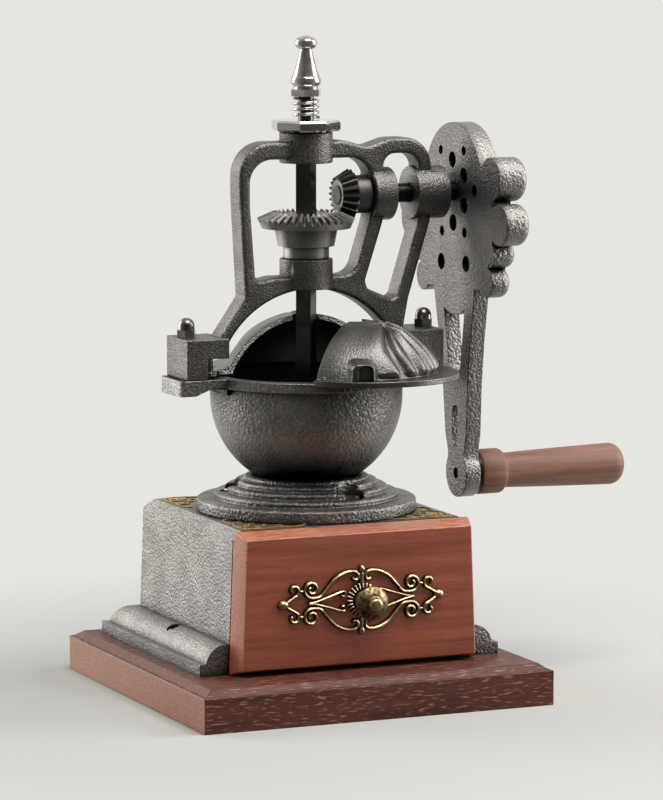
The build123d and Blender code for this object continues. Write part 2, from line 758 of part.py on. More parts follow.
turn_gap = min(
    (helix_point(step / 48) - helix_point(step / 48 + ahead / 48)).length - spring_wire
    for step in range(48)
    for ahead in range(30, 67)
)
print("spring pitch", round(spring_pitch, 2), "least gap between turns", round(turn_gap, 2))
lock_spring.part.label = "lock_spring"
export_step(lock_spring.part, "parts/lock_spring.step")

with BuildPart() as spring_collar:
    with BuildSketch(Plane.XY.offset(collar_z[0])):
        RegularPolygon(collar_radius, 6)
        Circle(spindle_thread_radius, mode=Mode.SUBTRACT)
    extrude(amount=collar_z[1] - collar_z[0])
spring_collar.part.label = "spring_collar"
export_step(spring_collar.part, "parts/spring_collar.step")

# Turned finial: waist, long taper, neck and flattened ball
with BuildPart() as finial:
    with BuildSketch(Plane.XZ):
        with BuildLine():
            finial_foot = Polyline(
                (0, spindle_top_z),
                (spindle_thread_radius, spindle_top_z),
                (spindle_thread_radius, collar_z[1]),
                (finial_radius - 1.5, collar_z[1]),
                (finial_radius - 1.5, collar_z[1] + 1.3),
            )
            shoulder = ThreePointArc(
                finial_foot @ 1,
                (finial_radius, collar_z[1] + 3.6),
                (finial_radius - 0.7, collar_z[1] + 6.4),
            )
            taper = ThreePointArc(
                shoulder @ 1,
                (0.66 * finial_radius, collar_z[1] + 12.2),
                (finial_neck, finial_ball_z - 3.2),
            )
            ball = ThreePointArc(
                taper @ 1,
                (finial_ball_radius, finial_ball_z),
                (0.52 * finial_ball_radius, finial_top_z - 0.7),
            )
            crown = Line(ball @ 1, (0.2 * finial_ball_radius, finial_top_z))
            Polyline(crown @ 1, (0, finial_top_z), finial_foot @ 0)
        make_face()
    revolve(axis=Axis.Z)
finial.part.label = "finial"
export_step(finial.part, "parts/finial.step")

# Cross shaft from the pinion to the crank
with BuildPart() as crank_shaft:
    with BuildSketch(Plane.YZ.offset(pinion_root(inner_shrink)[0] - 0.6)):
        with Locations((0, shaft_z)):
            Circle(shaft_radius)
    extrude(amount=crank_x + crank_thickness + crank_hub_height - pinion_root(inner_shrink)[0] + 0.6)
    with BuildSketch(Plane.YZ.offset(crank_x + crank_thickness + crank_hub_height)):
        with Locations((0, shaft_z)):
            Circle(crank_stud_radius)
    extrude(amount=crank_nut_height + 1)
crank_shaft.part.label = "crank_shaft"
export_step(crank_shaft.part, "parts/crank_shaft.step")

# Crank: a cast fan with four scallops a side, a tapered arm and a round eye
lean = math.radians(crank_lean)
crank_across = (0, math.cos(lean), -math.sin(lean))
crank_plane = Plane(origin=(crank_x, 0, shaft_z), x_dir=crank_across, z_dir=(1, 0, 0))
eye_y = -arm_length * math.sin(lean)
eye_z = shaft_z - arm_length * math.cos(lean)


def rounded_lobe(across, up, radius, thickness):
    """Pair of scallops of the crank, one a side, rounded over on the outer face."""
    with BuildPart() as lobe_pair:
        with BuildSketch(crank_plane):
            with Locations((-across, up), (across, up)):
                Circle(radius)
        extrude(amount=thickness)
        fillet(lobe_pair.faces().group_by(Axis.X)[-1].edges(), lobe_round)
    return lobe_pair.part


with BuildPart() as crank_arm:
    with BuildSketch(crank_plane):
        Circle(crown_radius)
        with BuildLine():
            fan_edge = Polyline((0, 20), (33.5, 13), (46, 0), (48, -22), (40, -38), (36, -50), (24.6, -50))
            Polyline(
                fan_edge @ 1, (23.3, -57), (18.8, -77), (15.2, -99), (12.7, -126), (9.8, -135), (9.8, -139),
                (0, -139),
            )
            mirror(about=Plane.YZ)
        make_face()
        with Locations((0, -arm_length)):
            Circle(eye_radius)
    extrude(amount=arm_thickness)
    with BuildSketch(crank_plane.offset(arm_thickness)):
        Circle(crown_radius)
        with BuildLine():
            Polyline((0, 20), (33.5, 13), (46, 0), (48, -22), (40, -38), (34, -46), (0, -46))
            mirror(about=Plane.YZ)
        make_face()
    extrude(amount=crank_thickness - arm_thickness)
    for lobe in lobes:
        add(rounded_lobe(*lobe))
    with BuildSketch(crank_plane):
        with Locations((-hook_across, hook_up), (hook_across, hook_up)):
            Circle(hook_radius)
    extrude(amount=2 * crank_thickness, mode=Mode.SUBTRACT)
    with BuildSketch(crank_plane.offset(crank_thickness)):
        Circle(crank_hub_radius)
    extrude(amount=crank_hub_height)
    with BuildSketch(crank_plane):
        with BuildLine():
            slot_top = ThreePointArc((-12.2, -61), (0, -64), (12.2, -61))
            FilletPolyline(
                slot_top @ 1, (6.2, -94), (-6.2, -94), slot_top @ 0,
                radius=5,
            )
        make_face()
        with Locations((0, -122)):
            SlotOverall(22, 8.4, rotation=90)
        with Locations((0, -arm_length)):
            Circle(handle_bolt_radius)
        Circle(shaft_radius)
    extrude(amount=2 * crank_thickness, mode=Mode.SUBTRACT)
    with BuildSketch(crank_plane):
        for pit_across, pit_up, pit_radius in pits:
            with Locations((pit_across, pit_up), (-pit_across, pit_up)):
                Circle(pit_radius)
    extrude(amount=pit_depth, mode=Mode.SUBTRACT)
crank_arm.part.label = "crank_arm"
export_step(crank_arm.part, "parts/crank_arm.step")

with BuildPart() as crank_nut:
    with BuildSketch(crank_plane.offset(crank_thickness + crank_hub_height)):
        RegularPolygon(1.88 * crank_stud_radius, 6)
        Circle(crank_stud_radius, mode=Mode.SUBTRACT)
    extrude(amount=crank_nut_height)
crank_nut.part.label = "crank_nut"
export_step(crank_nut.part, "parts/crank_nut.step")

# Handle: a washer against the eye, a bolt and a turned wooden grip
handle_axis = Axis((0, eye_y, eye_z), (1, 0, 0))
with BuildPart() as handle_washer:
    with BuildSketch(Plane.YZ.offset(crank_x + arm_thickness)):
        with Locations((eye_y, eye_z)):
            Circle(washer_radius)
            Circle(handle_bolt_radius, mode=Mode.SUBTRACT)
    extrude(amount=washer_thickness)
handle_washer.part.label = "handle_washer"
export_step(handle_washer.part, "parts/handle_washer.step")

with BuildPart() as handle_bolt:
    with BuildSketch(Plane.YZ.offset(crank_x + 1.2)):
        with Locations((eye_y, eye_z)):
            Circle(handle_bolt_radius)
    extrude(amount=bolt_seat_x + 0.4 - crank_x - 1.2)
    with BuildSketch(Plane.YZ.offset(bolt_seat_x + 0.4)):
        with Locations((eye_y, eye_z)):
            Circle(bolt_head_radius)
    extrude(amount=3)
    fillet(handle_bolt.edges().group_by(Axis.X)[-1], 1.2)
handle_bolt.part.label = "handle_bolt"
export_step(handle_bolt.part, "parts/handle_bolt.step")

with BuildPart() as handle_grip:
    with BuildSketch(Plane(origin=(0, eye_y, eye_z), x_dir=(1, 0, 0), z_dir=(0, -1, 0))):
        with BuildLine():
            collar_end_x = grip_start_x + grip_collar_length
            grip_foot = Polyline(
                (grip_start_x, handle_bolt_radius + journal_gap),
                (grip_start_x, grip_collar_radius - 0.8),
                (grip_start_x + 0.8, grip_collar_radius),
                (collar_end_x - grip_collar_round, grip_collar_radius),
            )
            collar_round = ThreePointArc(
                grip_foot @ 1,
                (collar_end_x - 0.3 * grip_collar_round, grip_collar_radius - 0.3 * grip_collar_round),
                (collar_end_x, grip_neck_radius + 0.2),
            )
            groove = Line(collar_round @ 1, (collar_end_x + 0.8, grip_neck_radius))
            swell = ThreePointArc(
                groove @ 1,
                (collar_end_x + 30, 0.46 * grip_neck_radius + 0.54 * grip_end_radius),
                (grip_end_x - 6.5, grip_end_radius),
            )
            nose = ThreePointArc(
                swell @ 1,
                (grip_end_x - 1.7, grip_end_radius - 2.0),
                (grip_end_x, grip_end_radius - 4.8),
            )
            Polyline(
                nose @ 1,
                (grip_end_x, bolt_head_radius + 0.4),
                (bolt_seat_x, bolt_head_radius + 0.4),
                (bolt_seat_x, handle_bolt_radius + journal_gap),
                grip_foot @ 0,
            )
        make_face()
    revolve(axis=handle_axis)
handle_grip.part.label = "handle_grip"
export_step(handle_grip.part, "parts/handle_grip.step")

# Half lid, drawn closed over the front of the bowl with its pin on the right; its flange is notched
# to pass the yoke's foot when the lid swings open
lid_rise = lid_top_z - lid_floor_z
dome_radius = (lid_base_radius**2 + lid_rise**2) / (2 * lid_rise)
dome_centre_z = lid_top_z - dome_radius
niche_out = Vector(math.cos(math.radians(niche_angle)), math.sin(math.radians(niche_angle)), 0)
notch_turn = math.radians(-lid_full_swing)
notch_dir = (math.cos(notch_turn), math.sin(notch_turn), 0)
notch_plane = Plane(origin=(lid_pivot_x, 0, lid_floor_z), x_dir=notch_dir, z_dir=(0, 0, 1))
niche_plane = Plane(origin=niche_out * niche_start, x_dir=(-niche_out.Y, niche_out.X, 0), z_dir=niche_out)
with BuildPart() as half_lid:
    with BuildSketch(Plane.XY.offset(lid_floor_z)):
        with Locations(flange_shift):
            Circle(flange_radius)
    extrude(amount=lid_flange)
    with BuildSketch(notch_plane):
        with Locations((undercut_x - lid_pivot_x - lid_notch_gap, 0)):
            Rectangle(foot_width, 2 * (ear_half_depth + lid_notch_gap), align=(Align.MIN, Align.CENTER))
    extrude(amount=lid_flange, mode=Mode.SUBTRACT)
    with Locations((0, 0, dome_centre_z)):
        Sphere(dome_radius)
    with BuildSketch(niche_plane):
        with Locations((0, lid_floor_z)):
            Rectangle(niche_width + 5, niche_height - niche_width / 2, align=(Align.CENTER, Align.MIN))
        with Locations((0, lid_floor_z + niche_height - niche_width / 2)):
            Circle(niche_width / 2 + 2.5)
    extrude(amount=niche_face - niche_start)
    with BuildSketch(niche_plane.offset(niche_face - niche_start - niche_cut)):
        with Locations((0, lid_floor_z + lid_flange)):
            Rectangle(
                niche_width, niche_height - niche_width / 2 - lid_flange, align=(Align.CENTER, Align.MIN)
            )
        with Locations((0, lid_floor_z + niche_height - niche_width / 2)):
            Circle(niche_width / 2)
    extrude(amount=4 * niche_cut, mode=Mode.SUBTRACT)
    with Locations((0, 0, dome_centre_z)):
        Sphere(dome_radius - lid_wall, mode=Mode.SUBTRACT)
    with Locations((0, 0, lid_floor_z)):
        Box(300, 300, 100, align=(Align.CENTER, Align.CENTER, Align.MAX), mode=Mode.SUBTRACT)
    with Locations((0, -lid_half_gap, lid_floor_z)):
        Box(300, 150, 100, align=(Align.CENTER, Align.MIN, Align.CENTER), mode=Mode.SUBTRACT)
    with Locations((0, 0, lid_floor_z)):
        Cylinder(lid_spindle_hole, 200, mode=Mode.SUBTRACT)
    with BuildSketch(Plane.XY.offset(lid_floor_z)):
        with Locations((lid_pivot_x, 0)):
            Circle(lid_tab_radius)
        with Locations(((lid_base_radius + lid_pivot_x) / 2, -lid_tab_radius / 2)):
            Rectangle(lid_pivot_x - lid_base_radius + 2, lid_tab_radius)
    extrude(amount=lid_flange)
    with BuildSketch(Plane.XY.offset(lid_floor_z)):
        with Locations((lid_pivot_x, 0)):
            Circle(lid_pin_radius + journal_gap)
    extrude(amount=lid_flange, mode=Mode.SUBTRACT)

pivot_axis = Axis((lid_pivot_x, 0, 0), (0, 0, 1))
with BuildPart() as front_lid:
    add(half_lid.part.rotate(pivot_axis, front_lid_swing))
front_lid.part.label = "front_lid"
export_step(front_lid.part, "parts/front_lid.step")

with BuildPart() as rear_lid:
    add(half_lid.part.rotate(Axis.Z, 180))
rear_lid.part.label = "rear_lid"
export_step(rear_lid.part, "parts/rear_lid.step")

# Drawer: a bevelled front on a plain wooden box
with BuildPart() as drawer_front:
    panel_z = (base_height + drawer_gap, housing_top_z - 0.2)
    with BuildSketch(Plane.XZ.offset(-drawer_front_y)):
        Polygon(
            (-housing_half_width(panel_z[0]), panel_z[0]),
            (housing_half_width(panel_z[0]), panel_z[0]),
            (housing_half_width(panel_z[1]), panel_z[1]),
            (-housing_half_width(panel_z[1]), panel_z[1]),
            align=None,
        )
    extrude(amount=drawer_front_y - drawer_panel_y)
    chamfer(
        drawer_front.faces().sort_by(Axis.Y)[0].edges(),
        length=drawer_edge_y - drawer_panel_y,
        length2=drawer_bevel,
        reference=drawer_front.faces().sort_by(Axis.Y)[0],
    )
    with BuildSketch(Plane.XZ.offset(-drawer_front_y)):
        with Locations((0, pull_z)):
            Circle(knob_screw_radius)
    extrude(amount=-2 * (drawer_panel_y - drawer_front_y), mode=Mode.SUBTRACT)
drawer_front.part.label = "drawer_front"
export_step(drawer_front.part, "parts/drawer_front.step")

drawer_length = drawer_box_back_y - drawer_front_y
side_height = drawer_box_z[1] - drawer_box_z[0]
with BuildPart() as drawer_left_side:
    with Locations((-drawer_box_half, drawer_front_y, drawer_box_z[0])):
        Box(drawer_board, drawer_length, side_height, align=Align.MIN)
drawer_left_side.part.label = "drawer_left_side"
export_step(drawer_left_side.part, "parts/drawer_left_side.step")

with BuildPart() as drawer_right_side:
    with Locations((drawer_box_half - drawer_board, drawer_front_y, drawer_box_z[0])):
        Box(drawer_board, drawer_length, side_height, align=Align.MIN)
drawer_right_side.part.label = "drawer_right_side"
export_step(drawer_right_side.part, "parts/drawer_right_side.step")

drawer_inside = drawer_box_half - drawer_board
with BuildPart() as drawer_back:
    with Locations((-drawer_inside, drawer_box_back_y - drawer_board, drawer_box_z[0])):
        Box(2 * drawer_inside, drawer_board, side_height, align=Align.MIN)
drawer_back.part.label = "drawer_back"
export_step(drawer_back.part, "parts/drawer_back.step")

with BuildPart() as drawer_bottom:
    with Locations((-drawer_inside, drawer_front_y, drawer_box_z[0])):
        Box(2 * drawer_inside, drawer_length - drawer_board, drawer_floor, align=Align.MIN)
drawer_bottom.part.label = "drawer_bottom"
export_step(drawer_bottom.part, "parts/drawer_bottom.step")


def pull_plane(y):
    """Plane that faces the front, centred on the pull."""
    return Plane(origin=(0, y, pull_z), x_dir=(1, 0, 0), z_dir=(0, -1, 0))


# Scroll plate behind the knob, one quarter drawn and mirrored
with BuildPart() as pull_backplate:
    with BuildSketch(pull_plane(drawer_panel_y)):
        with BuildLine():
            CenterArc((28.8, 5.9), volute_radius, 0, 360)
        trace(line_width=scroll_width)
        with BuildLine():
            sweep_out = ThreePointArc((28.6, 1.6), (21.6, 4.4), (17.0, 9.2))
            sweep_in = ThreePointArc(sweep_out @ 1, (12.6, 12.8), (6.4, 14.0))
            ThreePointArc(sweep_in @ 1, (3.4, 12.0), (5.0, 9.4))
        trace(line_width=scroll_width)
        with BuildLine():
            Line((30.0, 0.3), (11.0, 4.0))
        trace(line_width=scroll_width)
        with BuildLine():
            CenterArc((36.6, 6.3), curl_radius, 0, 360)
        trace(line_width=scroll_width)
        with BuildLine():
            ThreePointArc((38.6, 5.2), (39.8, 2.4), (43.0, 0.4))
        trace(line_width=scroll_width)
        with BuildLine():
            Line((32.6, 6.0), (34.6, 6.2))
        trace(line_width=scroll_width)
        with Locations((43.3, 0)):
            Circle(bead_radius)
        with Locations((0, 15.4)):
            Circle(bead_radius)
        with Locations((0, 11.0)):
            Rectangle(8.0, 9.0)
        mirror(about=Plane.YZ)
        mirror(about=Plane.XZ)
        Circle(rosette_radius)
        Circle(knob_screw_radius, mode=Mode.SUBTRACT)
    extrude(amount=pull_thickness)
pull_backplate.part.label = "pull_backplate"
export_step(pull_backplate.part, "parts/pull_backplate.step")

pull_axis = Axis((0, 0, pull_z), (0, 1, 0))
plate_face_y = drawer_panel_y - pull_thickness
with BuildPart() as pull_rosette:
    with BuildSketch(pull_plane(plate_face_y)):
        Circle(rosette_radius)
        with PolarLocations(rosette_radius + 0.3, rosette_ribs):
            Circle(0.7, mode=Mode.SUBTRACT)
        Circle(knob_screw_radius, mode=Mode.SUBTRACT)
    extrude(amount=rosette_thickness)
pull_rosette.part.label = "pull_rosette"
export_step(pull_rosette.part, "parts/pull_rosette.step")

knob_foot_y = plate_face_y - rosette_thickness
with BuildPart() as pull_knob:
    with BuildSketch(Plane.XY.offset(pull_z)):
        with BuildLine():
            stem = Polyline(
                (0, knob_foot_y), (0.52 * knob_radius, knob_foot_y), (0.42 * knob_radius, knob_foot_y - 5)
            )
            under = ThreePointArc(
                stem @ 1,
                (0.62 * knob_radius, knob_foot_y - 7.4),
                (knob_radius, knob_foot_y - 8.6),
            )
            rim = ThreePointArc(
                under @ 1,
                (knob_radius + 0.25, knob_foot_y - 9.6),
                (knob_radius - 0.5, knob_foot_y - 10.6),
            )
            face = ThreePointArc(
                rim @ 1,
                (0.72 * knob_radius, knob_foot_y - 12.4),
                (0.44 * knob_radius, knob_foot_y - 13.2),
            )
            boss = ThreePointArc(
                face @ 1,
                (0.36 * knob_radius, knob_foot_y - 15.0),
                (0.16 * knob_radius, knob_foot_y - 15.8),
            )
            Polyline(boss @ 1, (0, knob_foot_y - 15.8), stem @ 0)
        make_face()
    revolve(axis=pull_axis)
    with BuildSketch(pull_plane(knob_foot_y)):
        Circle(knob_screw_radius)
    extrude(amount=6, mode=Mode.SUBTRACT)
pull_knob.part.label = "pull_knob"
export_step(pull_knob.part, "parts/pull_knob.step")

with BuildPart() as knob_screw:
    with BuildSketch(pull_plane(drawer_front_y)):
        Circle(2 * knob_screw_radius)
    extrude(amount=-2)
    fillet(knob_screw.edges().group_by(Axis.Y)[-1], 0.9)
    with BuildSketch(pull_plane(drawer_front_y)):
        Circle(knob_screw_radius)
    extrude(amount=drawer_front_y - knob_foot_y + 5.5)
knob_screw.part.label = "knob_screw"
export_step(knob_screw.part, "parts/knob_screw.step")
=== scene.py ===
"""Looks of a hand crank coffee grinder: finishes, carved ornament, studio light and camera.

Sizes in the dataclasses are millimetres in the frame's axes: the spindle stands on the origin, the
drawer faces -Y and the crank hangs on +X. Meshes are in metres, like the frame.
"""
from __future__ import annotations

import json
import logging
import math
from dataclasses import dataclass
from enum import Enum

import bmesh
import bpy
import numpy as np
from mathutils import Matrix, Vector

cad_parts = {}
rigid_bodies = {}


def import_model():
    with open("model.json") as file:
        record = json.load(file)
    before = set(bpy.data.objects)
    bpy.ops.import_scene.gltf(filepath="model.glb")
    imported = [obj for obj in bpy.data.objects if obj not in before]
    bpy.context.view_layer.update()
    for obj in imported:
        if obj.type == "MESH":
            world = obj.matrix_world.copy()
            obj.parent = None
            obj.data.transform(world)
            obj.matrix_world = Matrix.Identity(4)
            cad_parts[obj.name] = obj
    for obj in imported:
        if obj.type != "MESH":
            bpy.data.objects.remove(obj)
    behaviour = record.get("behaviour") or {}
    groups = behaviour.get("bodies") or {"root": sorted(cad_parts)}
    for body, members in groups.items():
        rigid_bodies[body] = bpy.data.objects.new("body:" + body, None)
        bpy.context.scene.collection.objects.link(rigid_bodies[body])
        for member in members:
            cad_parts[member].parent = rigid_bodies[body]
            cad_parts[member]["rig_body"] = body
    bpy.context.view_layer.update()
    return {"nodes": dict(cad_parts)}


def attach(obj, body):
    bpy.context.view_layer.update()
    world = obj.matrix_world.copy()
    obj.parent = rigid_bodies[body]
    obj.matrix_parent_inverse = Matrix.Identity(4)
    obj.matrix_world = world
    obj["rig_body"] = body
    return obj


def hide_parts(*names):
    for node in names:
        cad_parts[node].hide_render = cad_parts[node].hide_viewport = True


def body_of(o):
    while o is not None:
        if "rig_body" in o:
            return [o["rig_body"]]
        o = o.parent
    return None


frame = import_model()

log = logging.getLogger("grinder")
PHOTO_HEIGHT = 800
MM = 0.001
# Points closer than this merge, shorter edges stay sharp, and flatter faces join.
WELD = 0.002 * MM
LEAST_ROUNDED = 1.0 * MM
FLAT_DEGREES = 0.5
# A Mix node's colour sockets, which share their names with the sockets of its other kinds.
MIX_A, MIX_B, MIX_RESULT = 6, 7, 2
# A carved stroke's section, in shares of its half width and height, and its end's length in half widths.
ROUND_TOP = np.array([(-1, 0), (-0.94, 0.42), (-0.6, 0.82), (0, 1), (0.6, 0.82), (0.94, 0.42), (1, 0)])
END_TAPER = 1.6
SPIRAL_STEP = 30

Surface = tuple[np.ndarray, np.ndarray, np.ndarray]
Pair = tuple[float, float]
Place = tuple[float, float, float]
Tree = bpy.types.NodeTree
Node = bpy.types.Node
Socket = bpy.types.NodeSocket


def linear(colour: str) -> tuple[float, float, float, float]:
    """Turn an sRGB hex colour into linear light.

    Args:
        colour: six hex digits, such as "8a4d36".

    Returns:
        Red, green, blue and an alpha of one.
    """
    channels = np.array([int(colour[i : i + 2], 16) for i in (0, 2, 4)]) / 255
    light = np.where(channels <= 0.04045, channels / 12.92, ((channels + 0.055) / 1.055) ** 2.4)
    return (*light.tolist(), 1.0)


def feed(node: Node, inputs: dict) -> None:
    """Set a node's inputs.

    Args:
        node: the node.
        inputs: socket name or index to a value, or to the output socket that feeds it.
    """
    for key, value in inputs.items():
        if isinstance(value, Socket):
            node.id_data.links.new(value, node.inputs[key])
        else:
            node.inputs[key].default_value = value


def add(tree: Tree, kind: str, inputs: dict | None = None, out: int | str = 0, **settings: object) -> Socket:
    """Add a node with its settings, its input values and its links.

    Args:
        tree: node tree that gets the node.
        kind: Blender's name of the node type.
        inputs: socket name or index to a value, or to the output socket that feeds it.
        out: name or index of the output that is wanted.
        settings: properties of the node itself.

    Returns:
        The wanted output of the new node.
    """
    node = tree.nodes.new(kind)
    for key, value in settings.items():
        setattr(node, key, value)
    feed(node, inputs or {})
    return node.outputs[out]


def smooth_step(share: np.ndarray) -> np.ndarray:
    """Hold a share between none and full, and ease it in and out: three squares less two cubes."""
    share = np.clip(share, 0, 1)
    return share * share * (3 - 2 * share)


def ring_quads(rings: int, sides: int) -> np.ndarray:
    """Quads between neighbouring rings of a grid whose rings close on themselves.

    Args:
        rings: number of rings.
        sides: points on each ring.

    Returns:
        Point numbers, four to a row.
    """
    side = np.arange(sides)
    after = np.roll(side, -1)
    start = np.arange(rings - 1)[:, None] * sides
    quads = [start + side, start + after, start + sides + after, start + sides + side]
    return np.stack(quads, axis=-1).reshape(-1, 4)


def closed_skin(points: np.ndarray) -> Surface:
    """A skin over rings that run along a face and back behind it. Quads from face to back fill the first
    and the last ring.

    Args:
        points: rings by points by three.

    Returns:
        Points, quads and a wear of none.
    """
    rings, sides, _ = points.shape
    step = np.arange(sides // 2 - 1)
    cap = np.stack([step, step + 1, sides - 2 - step, sides - 1 - step], axis=1)
    quads = np.vstack([ring_quads(rings, sides), cap, cap + (rings - 1) * sides])
    return points.reshape(-1, 3), quads, np.zeros(rings * sides)


def spline(points: list[Pair], per_span: int = 10) -> np.ndarray:
    """Smooth curve through points: on each span, the cubic whose slope at a point is half the step between
    the point's two neighbours.

    Args:
        points: the points that the curve passes.
        per_span: samples on each span.

    Returns:
        Samples along the curve.
    """
    inner = np.array(points, float)
    knots = np.vstack([2 * inner[0] - inner[1], inner, 2 * inner[-1] - inner[-2]])
    share = np.linspace(0, 1, per_span, endpoint=False)[None, :, None]
    before, here, there, beyond = [knots[i : len(knots) - 3 + i, None, :] for i in range(4)]
    square = 2 * before - 5 * here + 4 * there - beyond
    cube = 3 * (here - there) + beyond - before
    curve = here + 0.5 * share * (there - before + share * (square + share * cube))
    return np.vstack([curve.reshape(-1, inner.shape[1]), inner[-1:]])


def spiral(centre: Pair, radii: Pair, angles: Pair) -> list[Pair]:
    """Points on a spiral whose radius changes evenly with its angle.

    Args:
        centre: the spiral's eye.
        radii: first and last radius.
        angles: first and last angle in degrees.

    Returns:
        One point for about every thirty degrees.
    """
    count = int(abs(angles[1] - angles[0]) / SPIRAL_STEP) + 2
    turn = np.radians(np.linspace(*angles, count))
    radius = np.linspace(*radii, count)
    return list(zip(centre[0] + radius * np.cos(turn), centre[1] + radius * np.sin(turn)))


def band(path: np.ndarray, half_width: float, height: float) -> Surface:
    """A ridge laid along a path: a round-topped section, set across the path and standing on its plane, that
    shrinks to a point as a quarter circle at both ends.

    Args:
        path: samples of the path, across and up.
        half_width: half of the ridge's width.
        height: the ridge's height.

    Returns:
        Points as across, up and out; quads; and wear, which is full on the crest.
    """
    heading = np.gradient(path, axis=0)
    heading /= np.linalg.norm(heading, axis=1, keepdims=True)
    across = np.stack([-heading[:, 1], heading[:, 0]], axis=1)
    steps = np.linalg.norm(np.diff(path, axis=0), axis=1)
    run = np.concatenate([[0], np.cumsum(steps)])
    near = np.clip(np.minimum(run, run[-1] - run) / (END_TAPER * half_width), 0, 1)
    swell = np.sqrt(near * (2 - near))[:, None]
    flat = path[:, None, :] + across[:, None, :] * (ROUND_TOP[:, 0] * half_width * swell)[:, :, None]
    out = ROUND_TOP[:, 1] * height * swell
    points = np.concatenate([flat, out[:, :, None]], axis=2).reshape(-1, 3)
    wear = np.broadcast_to(ROUND_TOP[:, 1] ** 2, out.shape).reshape(-1)
    return points, ring_quads(len(path), len(ROUND_TOP)), wear


def lathe(profile: np.ndarray, wear: np.ndarray, sides: int = 64) -> Surface:
    """A profile turned about the out axis; it starts and ends on the axis, so the surface closes.

    Args:
        profile: samples of radius and out.
        wear: wear at each sample.
        sides: steps round the axis.

    Returns:
        Points as across, up and out; quads; and wear.
    """
    turn = np.linspace(0, 2 * np.pi, sides, endpoint=False)
    radius, out = profile[:, :1], profile[:, 1:]
    grid = np.broadcast_arrays(radius * np.cos(turn), radius * np.sin(turn), out)
    return np.stack(grid, axis=2).reshape(-1, 3), ring_quads(len(profile), sides), np.repeat(wear, sides)


def joined(surfaces: list[Surface]) -> Surface:
    """Several surfaces as one.

    Args:
        surfaces: the surfaces.

    Returns:
        Their points, quads and wear, with each surface's point numbers moved past the last one's.
    """
    starts = np.cumsum([0] + [len(points) for points, _, _ in surfaces[:-1]])
    quads = [surface[1] + start for surface, start in zip(surfaces, starts)]
    return np.vstack([s[0] for s in surfaces]), np.vstack(quads), np.concatenate([s[2] for s in surfaces])


def mirrored(surface: Surface, ways: list[tuple[int, int]]) -> Surface:
    """A surface repeated with its across and up turned over, one copy for each pair of signs."""
    return joined([(surface[0] * np.array([*way, 1]), surface[1], surface[2]) for way in ways])


def make_piece(name: str, surface: Surface, axes: np.ndarray, origin: Place, body: str) -> bpy.types.Object:
    """Make a piece from a surface: weld its seams and poles, and turn its faces outwards.

    Args:
        name: the piece's name.
        surface: points as across, up and out, quads and wear.
        axes: three rows, the directions of across, up and out.
        origin: the place of the surface's zero, in millimetres.
        body: the body that it rides on.

    Returns:
        The new object.
    """
    points = (surface[0] @ np.asarray(axes, float) + np.array(origin)) * MM
    mesh = bpy.data.meshes.new(name)
    mesh.from_pydata(points.tolist(), [], surface[1].tolist())
    mesh.attributes.new("wear", "FLOAT", "POINT").data.foreach_set("value", surface[2].astype(np.float32))
    shape = bmesh.new()
    shape.from_mesh(mesh)
    bmesh.ops.remove_doubles(shape, verts=shape.verts, dist=WELD)
    bmesh.ops.recalc_face_normals(shape, faces=shape.faces)
    shape.to_mesh(mesh)
    shape.free()
    mesh.shade_smooth()
    piece = bpy.data.objects.new(name, mesh)
    bpy.context.scene.collection.objects.link(piece)
    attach(piece, body)
    log.info("%s: %d faces", name, len(mesh.polygons))
    return piece


def round_edges(piece: bpy.types.Object, width: float) -> None:
    """Round a piece's sharp edges, except for short stretches, so that small holes stay plain.

    Args:
        piece: a piece whose sharp edges are marked.
        width: width of the rounded edge, in millimetres.
    """
    mesh = piece.data
    ends = np.zeros(2 * len(mesh.edges), int)
    mesh.edges.foreach_get("vertices", ends)
    places = np.zeros(3 * len(mesh.vertices))
    mesh.vertices.foreach_get("co", places)
    places = places.reshape(-1, 3)[ends.reshape(-1, 2)]
    sharp = np.zeros(len(mesh.edges), bool)
    mesh.attributes["sharp_edge"].data.foreach_get("value", sharp)
    long_enough = np.linalg.norm(places[:, 0] - places[:, 1], axis=1) > LEAST_ROUNDED
    weights = mesh.attributes.new("bevel_weight_edge", "FLOAT", "EDGE")
    weights.data.foreach_set("value", (sharp & long_enough).astype(np.float32))
    bevel = piece.modifiers.new("rounded_edges", "BEVEL")
    bevel.width = width * MM
    bevel.segments = 2
    bevel.limit_method = "WEIGHT"
    bevel.use_clamp_overlap = False
    bevel.harden_normals = True


def recast(
    node: str, edge: float, crease: float = 35.0, covered: LidNiche | None = None,
) -> bpy.types.Object:
    """Stand a welded copy in for a node, with crisp creases whose edges are slightly rounded.

    Args:
        node: the node's name.
        edge: width of the rounded edge, or zero for a plain crease.
        crease: angle in degrees past which an edge is a crease.
        covered: the niche that is built anew over its own part of the copy, which is left out.

    Returns:
        The copy.
    """
    source = frame["nodes"][node]
    mesh = source.data.copy()
    mesh.name = node + "_cast"
    shape = bmesh.new()
    shape.from_mesh(mesh)
    bmesh.ops.remove_doubles(shape, verts=shape.verts, dist=WELD)
    if covered:
        centres = np.array([face.calc_center_median() for face in shape.faces]) / MM
        faces = [face for face, hidden in zip(shape.faces, covered.covers(centres)) if hidden]
        bmesh.ops.delete(shape, geom=faces, context="FACES")
    flat = math.radians(FLAT_DEGREES)
    bmesh.ops.dissolve_limit(shape, angle_limit=flat, verts=shape.verts, edges=shape.edges)
    shape.to_mesh(mesh)
    shape.free()
    if "custom_normal" in mesh.attributes:
        mesh.attributes.remove(mesh.attributes["custom_normal"])
    mesh.shade_smooth()
    mesh.set_sharp_from_angle(angle=math.radians(crease))
    copy = bpy.data.objects.new(node + "_cast", mesh)
    bpy.context.scene.collection.objects.link(copy)
    if edge:
        round_edges(copy, edge)
    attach(copy, body_of(source)[0])
    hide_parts(node)
    log.info("%s: %d faces", copy.name, len(mesh.polygons))
    return copy


